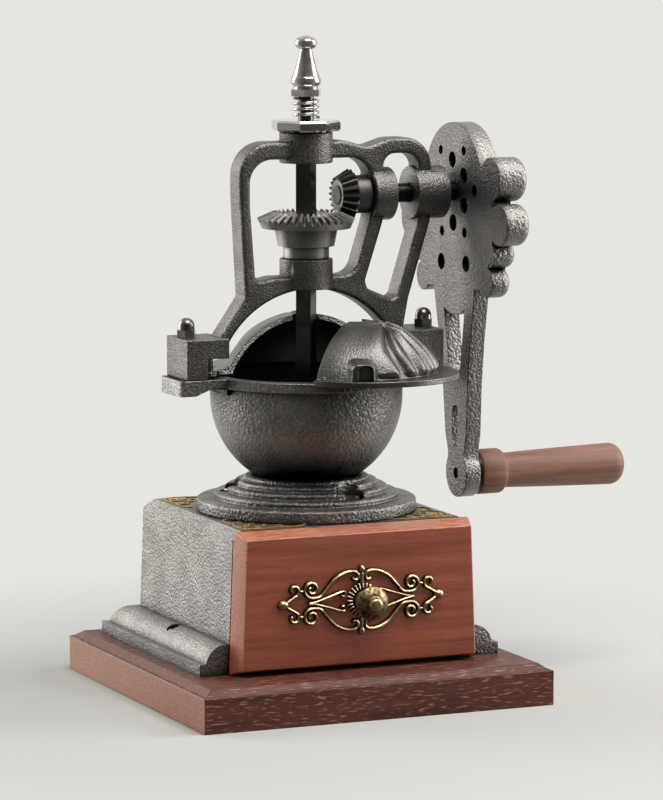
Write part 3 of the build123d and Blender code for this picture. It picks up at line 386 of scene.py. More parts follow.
class Axis(Enum):
    """Direction that a wood's grain runs in, or that a face is measured against."""

    X = (1, 0, 0)
    Y = (0, 1, 0)


@dataclass(frozen=True)
class Finish:
    """A finish makes one node material, named for what the surface is."""

    name: str

    def shade(self, tree: Tree, shader: Node) -> None:
        """Add this finish's nodes to a tree that holds a principled shader."""
        raise NotImplementedError

    def material(self) -> bpy.types.Material:
        """The finish's material, which is made when it is first asked for.

        Returns:
            A material with this finish's nodes.
        """
        material = bpy.data.materials.get(self.name)
        if material is None:
            material = bpy.data.materials.new(self.name)
            material.use_nodes = True
            self.shade(material.node_tree, material.node_tree.nodes["Principled BSDF"])
        return material

    def dress(self, *pieces: bpy.types.Object) -> None:
        """Put the finish on pieces, in place of what they had.

        Args:
            pieces: the pieces.
        """
        for piece in pieces:
            piece.data.materials.clear()
            piece.data.materials.append(self.material())
            log.info("%s: %s", piece.name, self.name)

    def dress_nodes(self, *names: str) -> None:
        """Put the finish on nodes of the frame."""
        self.dress(*[frame["nodes"][name] for name in names])


@dataclass(frozen=True)
class PaintedHighlightFaces:
    """Faces of a casting painted paler as a painted highlight: where they lie along an axis, how far they
    face it, each from none to full, and how deep their skin is."""

    colour: str
    axis: Axis
    place: Pair
    facing: Pair
    relief: float | None = None

    def share(self, tree: Tree, place: Socket) -> Socket:
        """Tell the rim, which gets the painted highlight, from the rest of the casting.

        Args:
            tree: node tree that gets the nodes.
            place: Object coordinates.

        Returns:
            An output that is one on the rim.
        """
        normal = add(tree, "ShaderNodeTexCoord", out="Normal")
        facing = add(tree, "ShaderNodeSeparateXYZ", {"Vector": normal}, self.axis.name)
        along = add(tree, "ShaderNodeSeparateXYZ", {"Vector": place}, self.axis.name)
        turn = {"Value": facing, "From Min": self.facing[0], "From Max": self.facing[1]}
        near, far = self.place
        reach = {"Value": along, "From Min": near * MM, "From Max": far * MM}
        return add(tree, "ShaderNodeMapRange", {**reach, "To Max": add(tree, "ShaderNodeMapRange", turn)})


@dataclass(frozen=True)
class CastIron(Finish):
    """Grey iron cast in sand and oiled: pebbled and dull, and paler where the grains are rubbed. Painted
    shade turns its hollows black, and some faces can take a painted highlight."""

    pale: str
    dark: str
    # Near-black colour of the painted shade in hollows and creases.
    painted_shade_colour: str = "141312"
    grain: float = 1.4
    swell: float = 16.0
    relief: float = 0.17
    # How far the painted shade's occlusion reaches.
    painted_shade_reach: float = 9.0
    painted_shade_span: Pair = (0.35, 0.9)  # share of open sky at which the painted shade is full, and at which it is gone
    metallic: float = 0.92
    roughness: Pair = (0.36, 0.5)
    rim: PaintedHighlightFaces | None = None

    def shade(self, tree: Tree, shader: Node) -> None:
        """Pebbles and fine sand raise the skin and rub pale; broad swells vary the grey; painted shade
        darkens hollows.

        Args:
            tree: node tree that gets the nodes.
            shader: its principled shader.
        """
        place = add(tree, "ShaderNodeTexCoord", out="Object")
        cells = {"Vector": place, "Scale": 1 / (self.grain * MM), "Smoothness": 0.7}
        pebble = add(tree, "ShaderNodeTexVoronoi", cells, "Distance", feature="SMOOTH_F1")
        grit = {"Vector": place, "Scale": 1.3 / (self.grain * MM), "Detail": 4.0}
        sand = add(tree, "ShaderNodeTexNoise", grit, "Fac")
        broad = {"Vector": place, "Scale": 1 / (self.swell * MM), "Detail": 2.0}
        swell = add(tree, "ShaderNodeTexNoise", broad, "Fac")
        skin = add(tree, "ShaderNodeMath", {0: sand, 1: pebble}, operation="SUBTRACT")
        rubbed = add(tree, "ShaderNodeMath", {0: skin, 1: 0.6, 2: swell}, operation="MULTIPLY_ADD")
        share = add(tree, "ShaderNodeMapRange", {"Value": rubbed, "From Min": 0.3, "From Max": 0.8})
        tones = {"Factor": share, MIX_A: linear(self.dark), MIX_B: linear(self.pale)}
        grey = add(tree, "ShaderNodeMix", tones, MIX_RESULT, data_type="RGBA")
        depth = self.relief * MM
        # Painted highlight: the rim's faces take a paler colour, standing in for the light that falls on
        # them.
        if self.rim:
            on_highlight = self.rim.share(tree, place)
            tones = {"Factor": on_highlight, MIX_A: grey, MIX_B: linear(self.rim.colour)}
            grey = add(tree, "ShaderNodeMix", tones, MIX_RESULT, data_type="RGBA")
            if self.rim.relief:
                depths = {"Value": on_highlight, "To Min": depth, "To Max": self.rim.relief * MM}
                depth = add(tree, "ShaderNodeMapRange", depths)
        bump = add(tree, "ShaderNodeBump", {"Height": skin, "Strength": 1.0, "Distance": depth})
        # Painted shade: ambient occlusion darkens hollows, creases and undersides towards a near-black
        # colour.
        sky = add(tree, "ShaderNodeAmbientOcclusion", {"Distance": self.painted_shade_reach * MM}, "AO", samples=6)
        shut, clear = self.painted_shade_span
        unshaded = add(tree, "ShaderNodeMapRange", {"Value": sky, "From Min": shut, "From Max": clear})
        tones = {"Factor": unshaded, MIX_A: linear(self.painted_shade_colour), MIX_B: grey}
        colour = add(tree, "ShaderNodeMix", tones, MIX_RESULT, data_type="RGBA")
        smooth, rough = self.roughness
        gloss = {"Value": sand, "From Min": 0.3, "From Max": 0.7, "To Min": smooth, "To Max": rough}
        dull = add(tree, "ShaderNodeMapRange", gloss)
        feed(shader, {"Base Color": colour, "Metallic": self.metallic, "Roughness": dull, "Normal": bump})


@dataclass(frozen=True)
class FacingToneAndHighlight:
    """A wood's paler tone on some of its faces, a painted highlight (over the real tone of end grain, where
    it is end grain): the share of the normal along an axis at which the tone is absent, and the share at
    which it is full."""

    colour: str
    axis: Axis
    absent: float
    full: float


@dataclass(frozen=True)
class Wood(Finish):
    """Hardwood, bare or under lacquer: streaks along the grain, short pores, and a soft gloss where it has a
    coat. Faces that turn a given way can take a paler tone, a painted highlight."""

    ground: str
    streak: str
    pore: str
    grain: Axis
    streak_width: float = 5.0
    streak_length: float = 90.0
    pore_width: float = 0.7
    pore_length: float = 7.0
    pore_share: float = 0.5
    pore_depth: float = 0.12
    coat: float = 0.5
    coat_roughness: float = 0.18
    roughness: float = 0.42
    tone_and_highlight: FacingToneAndHighlight | None = None
    tone_share: Pair = (0.9, 0.35)

    def drawn_out(self, tree: Tree, width: float, length: float, inputs: dict) -> Socket:
        """Noise drawn out along the grain.

        Args:
            tree: node tree that gets the nodes.
            width: its size across the grain.
            length: its size along the grain.
            inputs: the noise's other inputs.

        Returns:
            The noise.
        """
        place = add(tree, "ShaderNodeTexCoord", out="Object")
        scale = np.where(self.grain.value, 1 / (length * MM), 1 / (width * MM))
        grain = add(tree, "ShaderNodeMapping", {"Vector": place, "Scale": scale.tolist()})
        return add(tree, "ShaderNodeTexNoise", {"Vector": grain, "Scale": 1.0, **inputs}, "Fac")

    def toned_and_highlighted(self, tree: Tree, wood: Socket, pores: Socket) -> Socket:
        """Lay the tone, a painted highlight, over the faces that have one, broken up by the pores.

        Args:
            tree: node tree that gets the nodes.
            wood: the wood's colour.
            pores: the noise that makes the pores.

        Returns:
            The colour with the tone.
        """
        normal = add(tree, "ShaderNodeTexCoord", out="Normal")
        along = add(tree, "ShaderNodeSeparateXYZ", {"Vector": normal}, self.tone_and_highlight.axis.name)
        facing = add(tree, "ShaderNodeMath", {0: along}, operation="ABSOLUTE")
        most, least = self.tone_share
        pore_breaks = {"Value": pores, "From Min": 0.42, "From Max": 0.62, "To Min": most, "To Max": least}
        speckle = add(tree, "ShaderNodeMapRange", pore_breaks)
        turn = {"Value": facing, "From Min": self.tone_and_highlight.absent, "From Max": self.tone_and_highlight.full, "To Max": speckle}
        share = add(tree, "ShaderNodeMapRange", turn)
        tones = {"Factor": share, MIX_A: wood, MIX_B: linear(self.tone_and_highlight.colour)}
        return add(tree, "ShaderNodeMix", tones, MIX_RESULT, data_type="RGBA")

    def shade(self, tree: Tree, shader: Node) -> None:
        """Noise drawn out along the grain gives streaks; a finer one, cut at a level, gives pores.

        Args:
            tree: node tree that gets the nodes.
            shader: its principled shader.
        """
        wavy = {"Detail": 5.0, "Distortion": 0.6}
        streaks = self.drawn_out(tree, self.streak_width, self.streak_length, wavy)
        pores = self.drawn_out(tree, self.pore_width, self.pore_length, {"Detail": 1.0})
        share = add(tree, "ShaderNodeMapRange", {"Value": streaks, "From Min": 0.32, "From Max": 0.68})
        level = {"Value": pores, "From Min": 0.58, "From Max": 0.68, "To Max": self.pore_share}
        pore_cut = add(tree, "ShaderNodeMapRange", level)
        tones = {"Factor": share, MIX_A: linear(self.ground), MIX_B: linear(self.streak)}
        wood = add(tree, "ShaderNodeMix", tones, MIX_RESULT, data_type="RGBA")
        # Painted highlight, over end grain's own tone on the plinth: faces that turn a given way take the
        # paler tone.
        if self.tone_and_highlight:
            wood = self.toned_and_highlighted(tree, wood, pores)
        tones = {"Factor": pore_cut, MIX_A: wood, MIX_B: linear(self.pore)}
        colour = add(tree, "ShaderNodeMix", tones, MIX_RESULT, data_type="RGBA")
        depth = {"Height": pore_cut, "Strength": 0.25, "Distance": self.pore_depth * MM}
        bump = add(tree, "ShaderNodeBump", depth, invert=True)
        feed(shader, {"Base Color": colour, "Roughness": self.roughness, "Normal": bump})
        feed(shader, {"Coat Weight": self.coat, "Coat Roughness": self.coat_roughness})


@dataclass(frozen=True)
class SmoothMetal(Finish):
    """Polished or blackened metal: one colour that clouds a little, with a fine grain from polishing, which
    is drawn coarser than a real one so that it shows."""

    bright: str
    cloud: str
    roughness: Pair
    cloud_size: float = 6.0
    mark: float = 0.35
    mark_depth: float = 0.05
    metallic: float = 1.0

    def shade(self, tree: Tree, shader: Node) -> None:
        """Slow noise clouds the colour and the gloss; fine noise is the grain that polishing leaves.

        Args:
            tree: node tree that gets the nodes.
            shader: its principled shader.
        """
        place = add(tree, "ShaderNodeTexCoord", out="Object")
        slow = {"Vector": place, "Scale": 1 / (self.cloud_size * MM), "Detail": 4.0}
        cloud = add(tree, "ShaderNodeTexNoise", slow, "Fac")
        fine = {"Vector": place, "Scale": 1 / (self.mark * MM), "Detail": 2.0}
        marks = add(tree, "ShaderNodeTexNoise", fine, "Fac")
        share = add(tree, "ShaderNodeMapRange", {"Value": cloud, "From Min": 0.35, "From Max": 0.7})
        tones = {"Factor": share, MIX_A: linear(self.bright), MIX_B: linear(self.cloud)}
        colour = add(tree, "ShaderNodeMix", tones, MIX_RESULT, data_type="RGBA")
        smooth, rough = self.roughness
        dull = add(tree, "ShaderNodeMapRange", {"Value": share, "To Min": smooth, "To Max": rough})
        depth = {"Height": marks, "Strength": 0.08, "Distance": self.mark_depth * MM}
        bump = add(tree, "ShaderNodeBump", depth)
        feed(shader, {"Base Color": colour, "Metallic": self.metallic, "Roughness": dull, "Normal": bump})


@dataclass(frozen=True)
class AntiqueBrass(Finish):
    """Cast brass, browned and then rubbed: bright on the crests, nearly black in the hollows."""

    bright: str
    brown: str
    blotch: float = 1.6
    blotch_depth: float = 0.1
    metallic: float = 1.0
    roughness: Pair = (0.55, 0.27)

    def shade(self, tree: Tree, shader: Node) -> None:
        """The pieces' own wear attribute, broken up by noise, mixes brown patina into rubbed brass.

        Args:
            tree: node tree that gets the nodes.
            shader: its principled shader.
        """
        place = add(tree, "ShaderNodeTexCoord", out="Object")
        wear = add(tree, "ShaderNodeAttribute", out="Fac", attribute_name="wear")
        spots = {"Vector": place, "Scale": 1 / (self.blotch * MM), "Detail": 4.0}
        blotch = add(tree, "ShaderNodeTexNoise", spots, "Fac")
        both = add(tree, "ShaderNodeMath", {0: wear, 1: blotch}, operation="ADD")
        rubbed = add(tree, "ShaderNodeMapRange", {"Value": both, "From Min": 0.9, "From Max": 1.5})
        tones = {"Factor": rubbed, MIX_A: linear(self.brown), MIX_B: linear(self.bright)}
        colour = add(tree, "ShaderNodeMix", tones, MIX_RESULT, data_type="RGBA")
        rough, smooth = self.roughness
        dull = add(tree, "ShaderNodeMapRange", {"Value": rubbed, "To Min": rough, "To Max": smooth})
        depth = {"Height": blotch, "Strength": 0.2, "Distance": self.blotch_depth * MM}
        bump = add(tree, "ShaderNodeBump", depth)
        feed(shader, {"Base Color": colour, "Metallic": self.metallic, "Roughness": dull, "Normal": bump})


# Coarse sand mould, oiled: a dull mid grey covered in small pebbles.
HOUSING_IRON = CastIron("pebbled_grey_iron", pale="a3a09c", dark="85827e", relief=0.45)
# Coarse sand mould, handled: broad pale pebbles on the rim, and painted shade that turns the bowl black
# where it turns under itself.
BOWL_IRON = CastIron(
    "sand_cast_bowl_iron", pale="aaa7a3", dark="8d8a86", painted_shade_colour="0b0a0a", grain=1.7, relief=0.36,
    painted_shade_reach=44.0, painted_shade_span=(0.5, 1.0),
)
# Coarse sand mould, left rough: pale grains on dark ground.
FOOT_IRON = CastIron("sand_cast_foot_iron", pale="a09d99", dark="6e6b68", relief=0.5, painted_shade_reach=6.0)
# Finer sand mould, oiled: dark grey with a close grain.
YOKE_IRON = CastIron(
    "sand_cast_yoke_iron", pale="807d79", dark="666360", grain=1.0, relief=0.24, painted_shade_reach=6.0,
)
# Coarse sand mould, oiled: dark faces, with a painted highlight that makes the edges towards the outer side
# paler.
CRANK_IRON = CastIron(
    "sand_cast_crank_iron", pale="767370", dark="5f5c5b", relief=0.4, painted_shade_reach=8.0,
    rim=PaintedHighlightFaces("94918d", Axis.X, place=(82.0, 86.0), facing=(0.9, 0.6)),
)
# Fine sand mould, rubbed smooth: dark grey with a soft sheen.
LID_IRON = CastIron(
    "smooth_cast_lid_iron", pale="74716e", dark="64625f", grain=0.9, relief=0.12, painted_shade_reach=3.0,
    roughness=(0.28, 0.4),
)
# The same, with a cut face that was left raw: coarse, and painted pale as a painted highlight for its
# glints.
ROUGH_EDGED_LID_IRON = CastIron(
    "rough_edged_lid_iron", pale="74716e", dark="64625f", grain=0.9, relief=0.12, painted_shade_reach=3.0,
    roughness=(0.28, 0.4), rim=PaintedHighlightFaces("d8d5d0", Axis.Y, place=(1.4, 1.0), facing=(-0.8, -0.95), relief=0.9),
)
# Cut teeth: pale and even.
GEAR_IRON = CastIron("cut_gear_iron", pale="b4b1ad", dark="94918d", grain=0.8, relief=0.06)
# Cut teeth under oil: dark and even.
PINION_IRON = CastIron("oiled_pinion_iron", pale="75726f", dark="5b5855", grain=0.8, relief=0.06)
# Rolled bar under oil: dark, with a clear gloss.
SPINDLE_STEEL = SmoothMetal("oiled_black_steel", bright="5c5a58", cloud="454341", roughness=(0.16, 0.28))
# Heat-blackened steel: nearly black and satin.
BLACK_STEEL = SmoothMetal("blackened_steel", bright="3a3836", cloud="242220", roughness=(0.3, 0.45))
# Turned and polished steel: mid grey with broad highlights.
DARK_STEEL = SmoothMetal("polished_dark_steel", bright="9a9794", cloud="757270", roughness=(0.2, 0.32))
# Nickel plate: warm grey that mirrors the room softly.
NICKEL = SmoothMetal("satin_nickel", bright="c6c2bc", cloud="9a958f", roughness=(0.07, 0.17), metallic=0.85)
# Chrome plate: a bright mirror.
CHROME = SmoothMetal("bright_chrome", bright="e6e2dc", cloud="c4c0ba", roughness=(0.04, 0.1))
# Brass, browned and rubbed: pale gold crests over dark brown.
BRASS = AntiqueBrass("rubbed_antique_brass", bright="d8be90", brown="33281b")
# Gold paint on iron: warm yellow strokes with brown sides.
GILDING = AntiqueBrass("gilded_scrollwork", bright="e8c680", brown="7a5a2a")
# Mahogany under lacquer: red-brown and softly glossy, with bevels and edges painted paler as a painted
# highlight.
MAHOGANY = Wood(
    "lacquered_mahogany", ground="994f38", streak="7e3e2b", pore="5c2a1a", grain=Axis.X, pore_share=0.3,
    coat=0.35, tone_and_highlight=FacingToneAndHighlight("d0876a", Axis.Y, absent=0.95, full=0.75),
)
# Stained wood without lacquer: dark and dull, with pale pores, and pale end grain whose paleness is partly a
# painted highlight for the light on the sides.
PLINTH_WOOD = Wood(
    "stained_plinth_wood", ground="602f22", streak="451f17", pore="b8825f", grain=Axis.X, pore_width=0.9,
    pore_length=6.0, coat=0.0, roughness=0.5, tone_and_highlight=FacingToneAndHighlight("c08d77", Axis.X, absent=0.5, full=0.9),
)
# Turned wood, worn by the hand: grey-brown and dull.
GRIP_WOOD = Wood(
    "turned_grip_wood", ground="8a6352", streak="704b3c", pore="52372a", grain=Axis.X, streak_width=3.0,
    streak_length=60.0, pore_share=0.25, coat=0.0, roughness=0.55,
)
# Bare sawn boards: pale and dull.
RAW_BOARDS = Wood(
    "raw_drawer_boards", ground="c7a67c", streak="b08c60", pore="8a6a44", grain=Axis.Y, coat=0.0,
    roughness=0.65,
)


@dataclass(frozen=True)
class SkirtEnds:
    """Solid ends that close the hollow side skirts at the front of the housing."""

    wall_x: float = 66.8
    foot_z: float = 21.0
    front_y: float = -56.9
    thickness: float = 3.0
    crease: float = 35.0
    outline: tuple[Pair, ...] = (
        (-1.5, 15.1), (0, 15.1), (4.4, 14.5), (8.0, 12.6), (10.4, 9.6), (11.5, 5.7), (14.9, 5.7),
    )

    def surface(self) -> Surface:
        """One end: the outline's height over the plinth, drawn down to the plinth and back by the thickness.

        Returns:
            The end, measured from the housing's wall.
        """
        reach, top = np.array(self.outline).T
        foot = front = np.zeros_like(reach)
        back = front - self.thickness
        ring = [(reach, foot, front), (reach, top, front), (reach, top, back), (reach, foot, back)]
        return closed_skin(np.stack([np.stack(corner, axis=1) for corner in ring], axis=1))

    def build(self) -> None:
        """Set one end at each side and dress them."""
        points, quads, wear = self.surface()
        both = mirrored((points + np.array([self.wall_x, 0, 0]), quads, wear), [(1, 1), (-1, 1)])
        axes = np.array([(1, 0, 0), (0, 0, 1), (0, -1, 0)])
        piece = make_piece("skirt_ends", both, axes, (0, self.front_y, self.foot_z), "stand")
        piece.data.set_sharp_from_angle(angle=math.radians(self.crease))
        HOUSING_IRON.dress(piece)


@dataclass(frozen=True)
class CornerScrolls:
    """Gilded scrollwork on the four corners of the housing's top, outside the bowl's foot."""

    top_z: float = 93.0
    sink: float = 0.05
    half_width: float = 59.0
    front_y: float = -56.6
    back_y: float = 61.2
    stroke: float = 0.85
    height: float = 0.7
    leaf_size: Pair = (1.6, 1.2)  # in strokes and heights

    def corner(self) -> Surface:
        """One corner: two volutes that meet in a leaf, long S-scrolls along the edges and short strokes
        between them, drawn for one edge and turned over for the other.

        Returns:
            The corner, measured in from the plate's corner along both edges.
        """
        volute = spiral((10.6, 6.4), (0.8, 3.6), (-400.0, 100.0)) + [(6.4, 9.0), (3.4, 5.2)]
        curl = spiral((22.4, 7.4), (3.0, 0.8), (-110.0, 250.0))
        long_scroll = [(3.0, 3.4), (8.0, 1.7), (15.0, 2.0), (21.0, 4.2)] + curl
        tail = [(20.0, 3.0), (27.0, 2.0), (33.0, 3.4), (36.0, 5.2), (34.4, 5.6)]
        sprig = [(15.2, 9.8), (17.8, 11.8), (17.2, 14.6)]
        leaf = [(2.2, 2.2), (6.0, 6.6), (11.6, 12.4)]
        half = [(volute, 1.0), (long_scroll, 1.0), (tail, 0.8), (sprig, 1.0)]
        strokes = [band(spline(points), self.stroke * size, self.height) for points, size in half]
        flipped = [(points[:, [1, 0, 2]], quads, wear) for points, quads, wear in strokes]
        wide, high = self.leaf_size
        return joined(strokes + flipped + [band(spline(leaf), wide * self.stroke, high * self.height)])

    def build(self) -> None:
        """Set the corner scrolls on the housing's top and dress them."""
        points, quads, wear = self.corner()
        corners = []
        for across in (-1, 1):
            for edge, up in ((self.front_y, 1), (self.back_y, -1)):
                start = np.array([-across * self.half_width, edge, 0])
                corners.append((points * np.array([across, up, 1]) + start, quads, wear))
        origin = (0, 0, self.top_z - self.sink)
        piece = make_piece("corner_scrolls", joined(corners), np.eye(3), origin, "stand")
        GILDING.dress(piece)


@dataclass(frozen=True)
class Stand:
    """Plinth, drawer housing, bowl and yoke, with their fasteners: everything that stays still."""

    housing_edge: float = 0.0
    casting_edge: float = 0.6
    plinth_edge: float = 0.6

    def build(self) -> None:
        """Recast the iron and the plinth, add the skirt's ends and the scrolls, and dress the fasteners."""
        HOUSING_IRON.dress(recast("drawer_housing", self.housing_edge))
        SkirtEnds().build()
        castings = {"hopper_bowl": BOWL_IRON, "hopper_foot": FOOT_IRON, "yoke_frame": YOKE_IRON}
        for node, iron in castings.items():
            iron.dress(recast(node, self.casting_edge))
        PLINTH_WOOD.dress(recast("base_plate", self.plinth_edge))
        CornerScrolls().build()
        GEAR_IRON.dress_nodes("outer_burr")
        BLACK_STEEL.dress_nodes("yoke_studs")
        DARK_STEEL.dress_nodes("acorn_nuts", "housing_screws", "lid_pivot_pins")
        NICKEL.dress_nodes("hopper_bolts")


@dataclass(frozen=True)
class DrawerPull:
    """Cast brass pull: open scrolls round a ribbed rosette, with a turned knob on a neck."""

    centre: Place = (0.0, -69.0, 56.5)
    axes: tuple[Place, ...] = ((1, 0, 0), (0, 0, 1), (0, -1, 0))
    crease: float = 50.0
    half_width: float = 1.1
    height: float = 2.3
    stroke_height: Pair = (0.7, 0.3)  # share that every stroke has, and share that its width adds
    volute_place: Pair = (27.2, 7.0)
    volute_radii: Pair = (0.9, 4.4)
    volute_angles: Pair = (455.0, -95.0)
    end_reach: float = 42.4
    end_bead: Place = (3.125, 2.5, 3.2)  # two radii and the height
    bud_reach: float = 15.6
    bud: Place = (1.7, 2.3, 2.9)  # two radii and the height
    bead_steps: tuple[int, int] = (9, 20)  # up and round
    stem: Pair = (1.5, 2.0)  # half width and height
    plate_radius: float = 7.2
    plate_share: float = 0.8
    rib_count: int = 24
    rib_radii: Pair = (5.6, 8.7)
    rib_depth: float = 0.55
    rosette_sink: float = 0.5
    knob_radius: float = 8.6
    knob_length: float = 17.6
    knob_lip: Pair = (11.2, 0.7)  # place along the knob and half width
    knob_boss: Pair = (14.4, 2.0)  # start along the knob and length
    knob_wear: Place = (0.95, 0.58, 0.4)  # on the lip, all over, and added on the boss
    knob_lift: float = 1.0

    def bead(self, across: float, up: float, size: Place) -> Surface:
        """A low dome over an ellipse, as high as a sine of the way to its middle.

        Args:
            across: place of its middle.
            up: place of its middle.
            size: two radii and the height.

        Returns:
            The dome.
        """
        up_steps, sides = self.bead_steps
        rise = np.linspace(0, np.pi / 2, up_steps)
        profile = np.vstack([[0, 0], np.stack([np.cos(rise), np.sin(rise)], axis=1)])
        profile[-1, 0] = 0
        points, quads, wear = lathe(profile, np.sqrt(profile[:, 1]), sides)
        return points * np.array(size) + np.array([across, up, 0]), quads, wear

    def quarter(self) -> Surface:
        """Scrolls of the upper right quarter: volute and long S, tulip stroke, end curl and a link.

        Returns:
            The quarter, measured from the pull's centre.
        """
        scroll = spiral(self.volute_place, self.volute_radii, self.volute_angles) + [
            (22.6, 3.2), (19.4, 6.5), (14.6, 11.5), (9.0, 14.3), (4.0, 14.6), (1.9, 12.8), (2.6, 10.6),
            (4.4, 10.6), (4.4, 11.9),
        ]
        tulip = [
            (29.5, 0.0), (25.0, 0.6), (17.5, 2.8), (10.6, 4.9), (9.0, 4.0), (9.7, 2.5), (11.0, 2.9),
            (10.6, 3.6),
        ]
        curl = [(41.6, 0.7), (39.4, 1.9), (37.3, 3.2)] + spiral((36.9, 6.9), (3.2, 1.0), (-100.0, -440.0))
        link = [(31.2, 6.6), (32.6, 6.4), (34.2, 6.6)]
        least, gain = self.stroke_height
        strokes = []
        for points, size in ((scroll, 1.0), (tulip, 0.8), (curl, 0.95), (link, 0.7)):
            height = self.height * (least + gain * size)
            strokes.append(band(spline(points, 12), self.half_width * size, height))
        return joined(strokes)

    def filigree(self) -> Surface:
        """Four mirrored quarters, a bead at each end, a bud and stem above and below, and the middle plate.

        Returns:
            The whole scroll plate.
        """
        quarters = mirrored(self.quarter(), [(1, 1), (-1, 1), (1, -1), (-1, -1)])
        beads = [self.bead(side * self.end_reach, 0, self.end_bead) for side in (-1, 1)]
        buds = [self.bead(0, side * self.bud_reach, self.bud) for side in (-1, 1)]
        stems = [band(spline([(0, side * up) for up in (6, 10, 15)]), *self.stem) for side in (-1, 1)]
        rim = self.height * self.plate_share
        plate = np.array([(0, 0), (self.plate_radius, 0), (self.plate_radius, rim), (0, rim)], float)
        return joined([quarters, *beads, *buds, *stems, lathe(plate, np.zeros(4))])

    def rosette(self) -> Surface:
        """A disc with radial ribs: the rim's height follows the cosine of the angle, times the rib count.

        Returns:
            The rosette, with its ribs worn.
        """
        sides = 8 * self.rib_count
        inner, outer = self.rib_radii
        # Radius, height and share of the ribs.
        steps = np.array([
            (0, 0, 0), (outer - 0.6, 0, 0), (outer, 0.3, 0.3), (outer, 0.8, 1), (outer - 0.5, 1.2, 1),
            (inner + 0.5, 1.7, 1), (inner, 1.5, 0.6), (inner - 0.8, 0.7, 0), (4.0, 0.8, 0), (0, 0.8, 0),
        ])
        points, quads, ribbed = lathe(steps[:, :2], steps[:, 2], sides)
        ribs = 0.5 + 0.5 * np.cos(np.arctan2(points[:, 1], points[:, 0]) * self.rib_count)
        points[:, 2] *= 1 - self.rib_depth * ribbed * (1 - ribs)
        return points, quads, ribbed * ribs

    def knob(self) -> Surface:
        """A turned knob: a waisted neck, a thin-lipped mushroom and a round boss on its face.

        Returns:
            The knob, worn on its lip and boss.
        """
        r, h = self.knob_radius, self.knob_length
        profile = spline([
            (0, 0), (4.6, 0), (4.4, 1.2), (3.4, 3.0), (3.1, 5.4), (4.0, 8.0), (6.4, 9.6), (r - 0.5, 10.4),
            (r, 11.0), (r - 0.3, 11.7), (r - 1.2, 12.5), (5.6, 13.7), (4.2, 14.2), (3.8, 14.6), (3.7, 15.4),
            (3.1, 16.8), (1.8, h - 0.1), (0, h),
        ], 5)
        profile[[0, -1], 0] = 0
        profile = np.maximum(profile, 0)
        lip = np.exp(-(((profile[:, 1] - self.knob_lip[0]) / self.knob_lip[1]) ** 2))
        boss = np.clip((profile[:, 1] - self.knob_boss[0]) / self.knob_boss[1], 0, 1)
        lip_wear, wear, boss_wear = self.knob_wear
        return lathe(profile, np.maximum(lip_wear * lip, wear + boss_wear * boss))

    def build(self) -> None:
        """Make the three brass pieces on the drawer's front and dress them."""
        x, y, z = self.centre
        plate_y = y - self.height
        parts = [
            ("pull_filigree", self.filigree(), y, "pull_backplate"),
            ("pull_ribbed_rosette", self.rosette(), plate_y + self.rosette_sink, "pull_rosette"),
            ("pull_turned_knob", self.knob(), plate_y - self.knob_lift, "pull_knob"),
        ]
        for name, surface, face_y, node in parts:
            piece = make_piece(name, surface, np.array(self.axes), (x, face_y, z), "drawer")
            piece.data.set_sharp_from_angle(angle=math.radians(self.crease))
            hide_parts(node)
            BRASS.dress(piece)


@dataclass(frozen=True)
class Drawer:
    """Lacquered front with its brass pull, on a box of raw boards."""

    front_edge: float = 0.7

    def build(self) -> None:
        """Recast the front, add the pull and dress the box."""
        MAHOGANY.dress(recast("drawer_front", self.front_edge))
        DrawerPull().build()
        RAW_BOARDS.dress_nodes("drawer_left_side", "drawer_right_side", "drawer_back", "drawer_bottom")
        BLACK_STEEL.dress_nodes("knob_screw")


@dataclass(frozen=True)
class GearTrain:
    """Spindle with its gear, burr and top stack, and the crank's pinion."""

    tooth_edge: float = 0.0

    def build(self) -> None:
        """Recast both gears with crisp teeth and dress what turns with them."""
        GEAR_IRON.dress(recast("crown_gear", self.tooth_edge))
        PINION_IRON.dress(recast("drive_pinion", self.tooth_edge))
        GEAR_IRON.dress_nodes("inner_burr")
        SPINDLE_STEEL.dress_nodes("spindle")
        BLACK_STEEL.dress_nodes("burr_nut")
        NICKEL.dress_nodes("lock_spring", "spring_collar", "finial")
        CHROME.dress_nodes("adjusting_nut")


@dataclass(frozen=True)
class Crank:
    """Scalloped crank on its shaft, with a turned grip."""

    arm_edge: float = 0.4
    grip_edge: float = 0.0
    grip_crease: float = 50.0

    def build(self) -> None:
        """Recast the arm and the grip, and dress what holds them."""
        CRANK_IRON.dress(recast("crank_arm", self.arm_edge))
        GRIP_WOOD.dress(recast("handle_grip", self.grip_edge, self.grip_crease))
        BLACK_STEEL.dress_nodes("crank_shaft", "crank_nut", "handle_bolt", "handle_washer")


@dataclass(frozen=True)
class LidRelief:
    """Cast relief on a half lid's dome, worked out on the closed front lid and then turned about an upright
    line to where the lid stands."""

    body: str
    turn: float
    pivot_x: float
    dome_radius: float = 46.97
    dome_centre_z: float = 146.43
    sink: float = 0.35

    def axes(self) -> np.ndarray:
        """Directions of the closed front lid, turned to where this lid stands.

        Returns:
            Three rows.
        """
        angle = math.radians(self.turn)
        ahead = (math.cos(angle), math.sin(angle), 0)
        return np.array([ahead, (-ahead[1], ahead[0], 0), (0, 0, 1)])

    def pivot(self) -> np.ndarray:
        """Place of the upright line that the relief is turned about."""
        return np.array([self.pivot_x, 0, 0])

    def surface(self) -> Surface:
        """The relief on the closed front lid."""
        raise NotImplementedError

    def build(self, name: str, finish: Finish) -> None:
        """Make the relief where the lid stands, and dress it.

        Args:
            name: the piece's name.
            finish: the lid's finish.
        """
        points, quads, wear = self.surface()
        surface = (points - self.pivot(), quads, wear)
        piece = make_piece(name, surface, self.axes(), (self.pivot_x, 0, 0), self.body)
        finish.dress(piece)


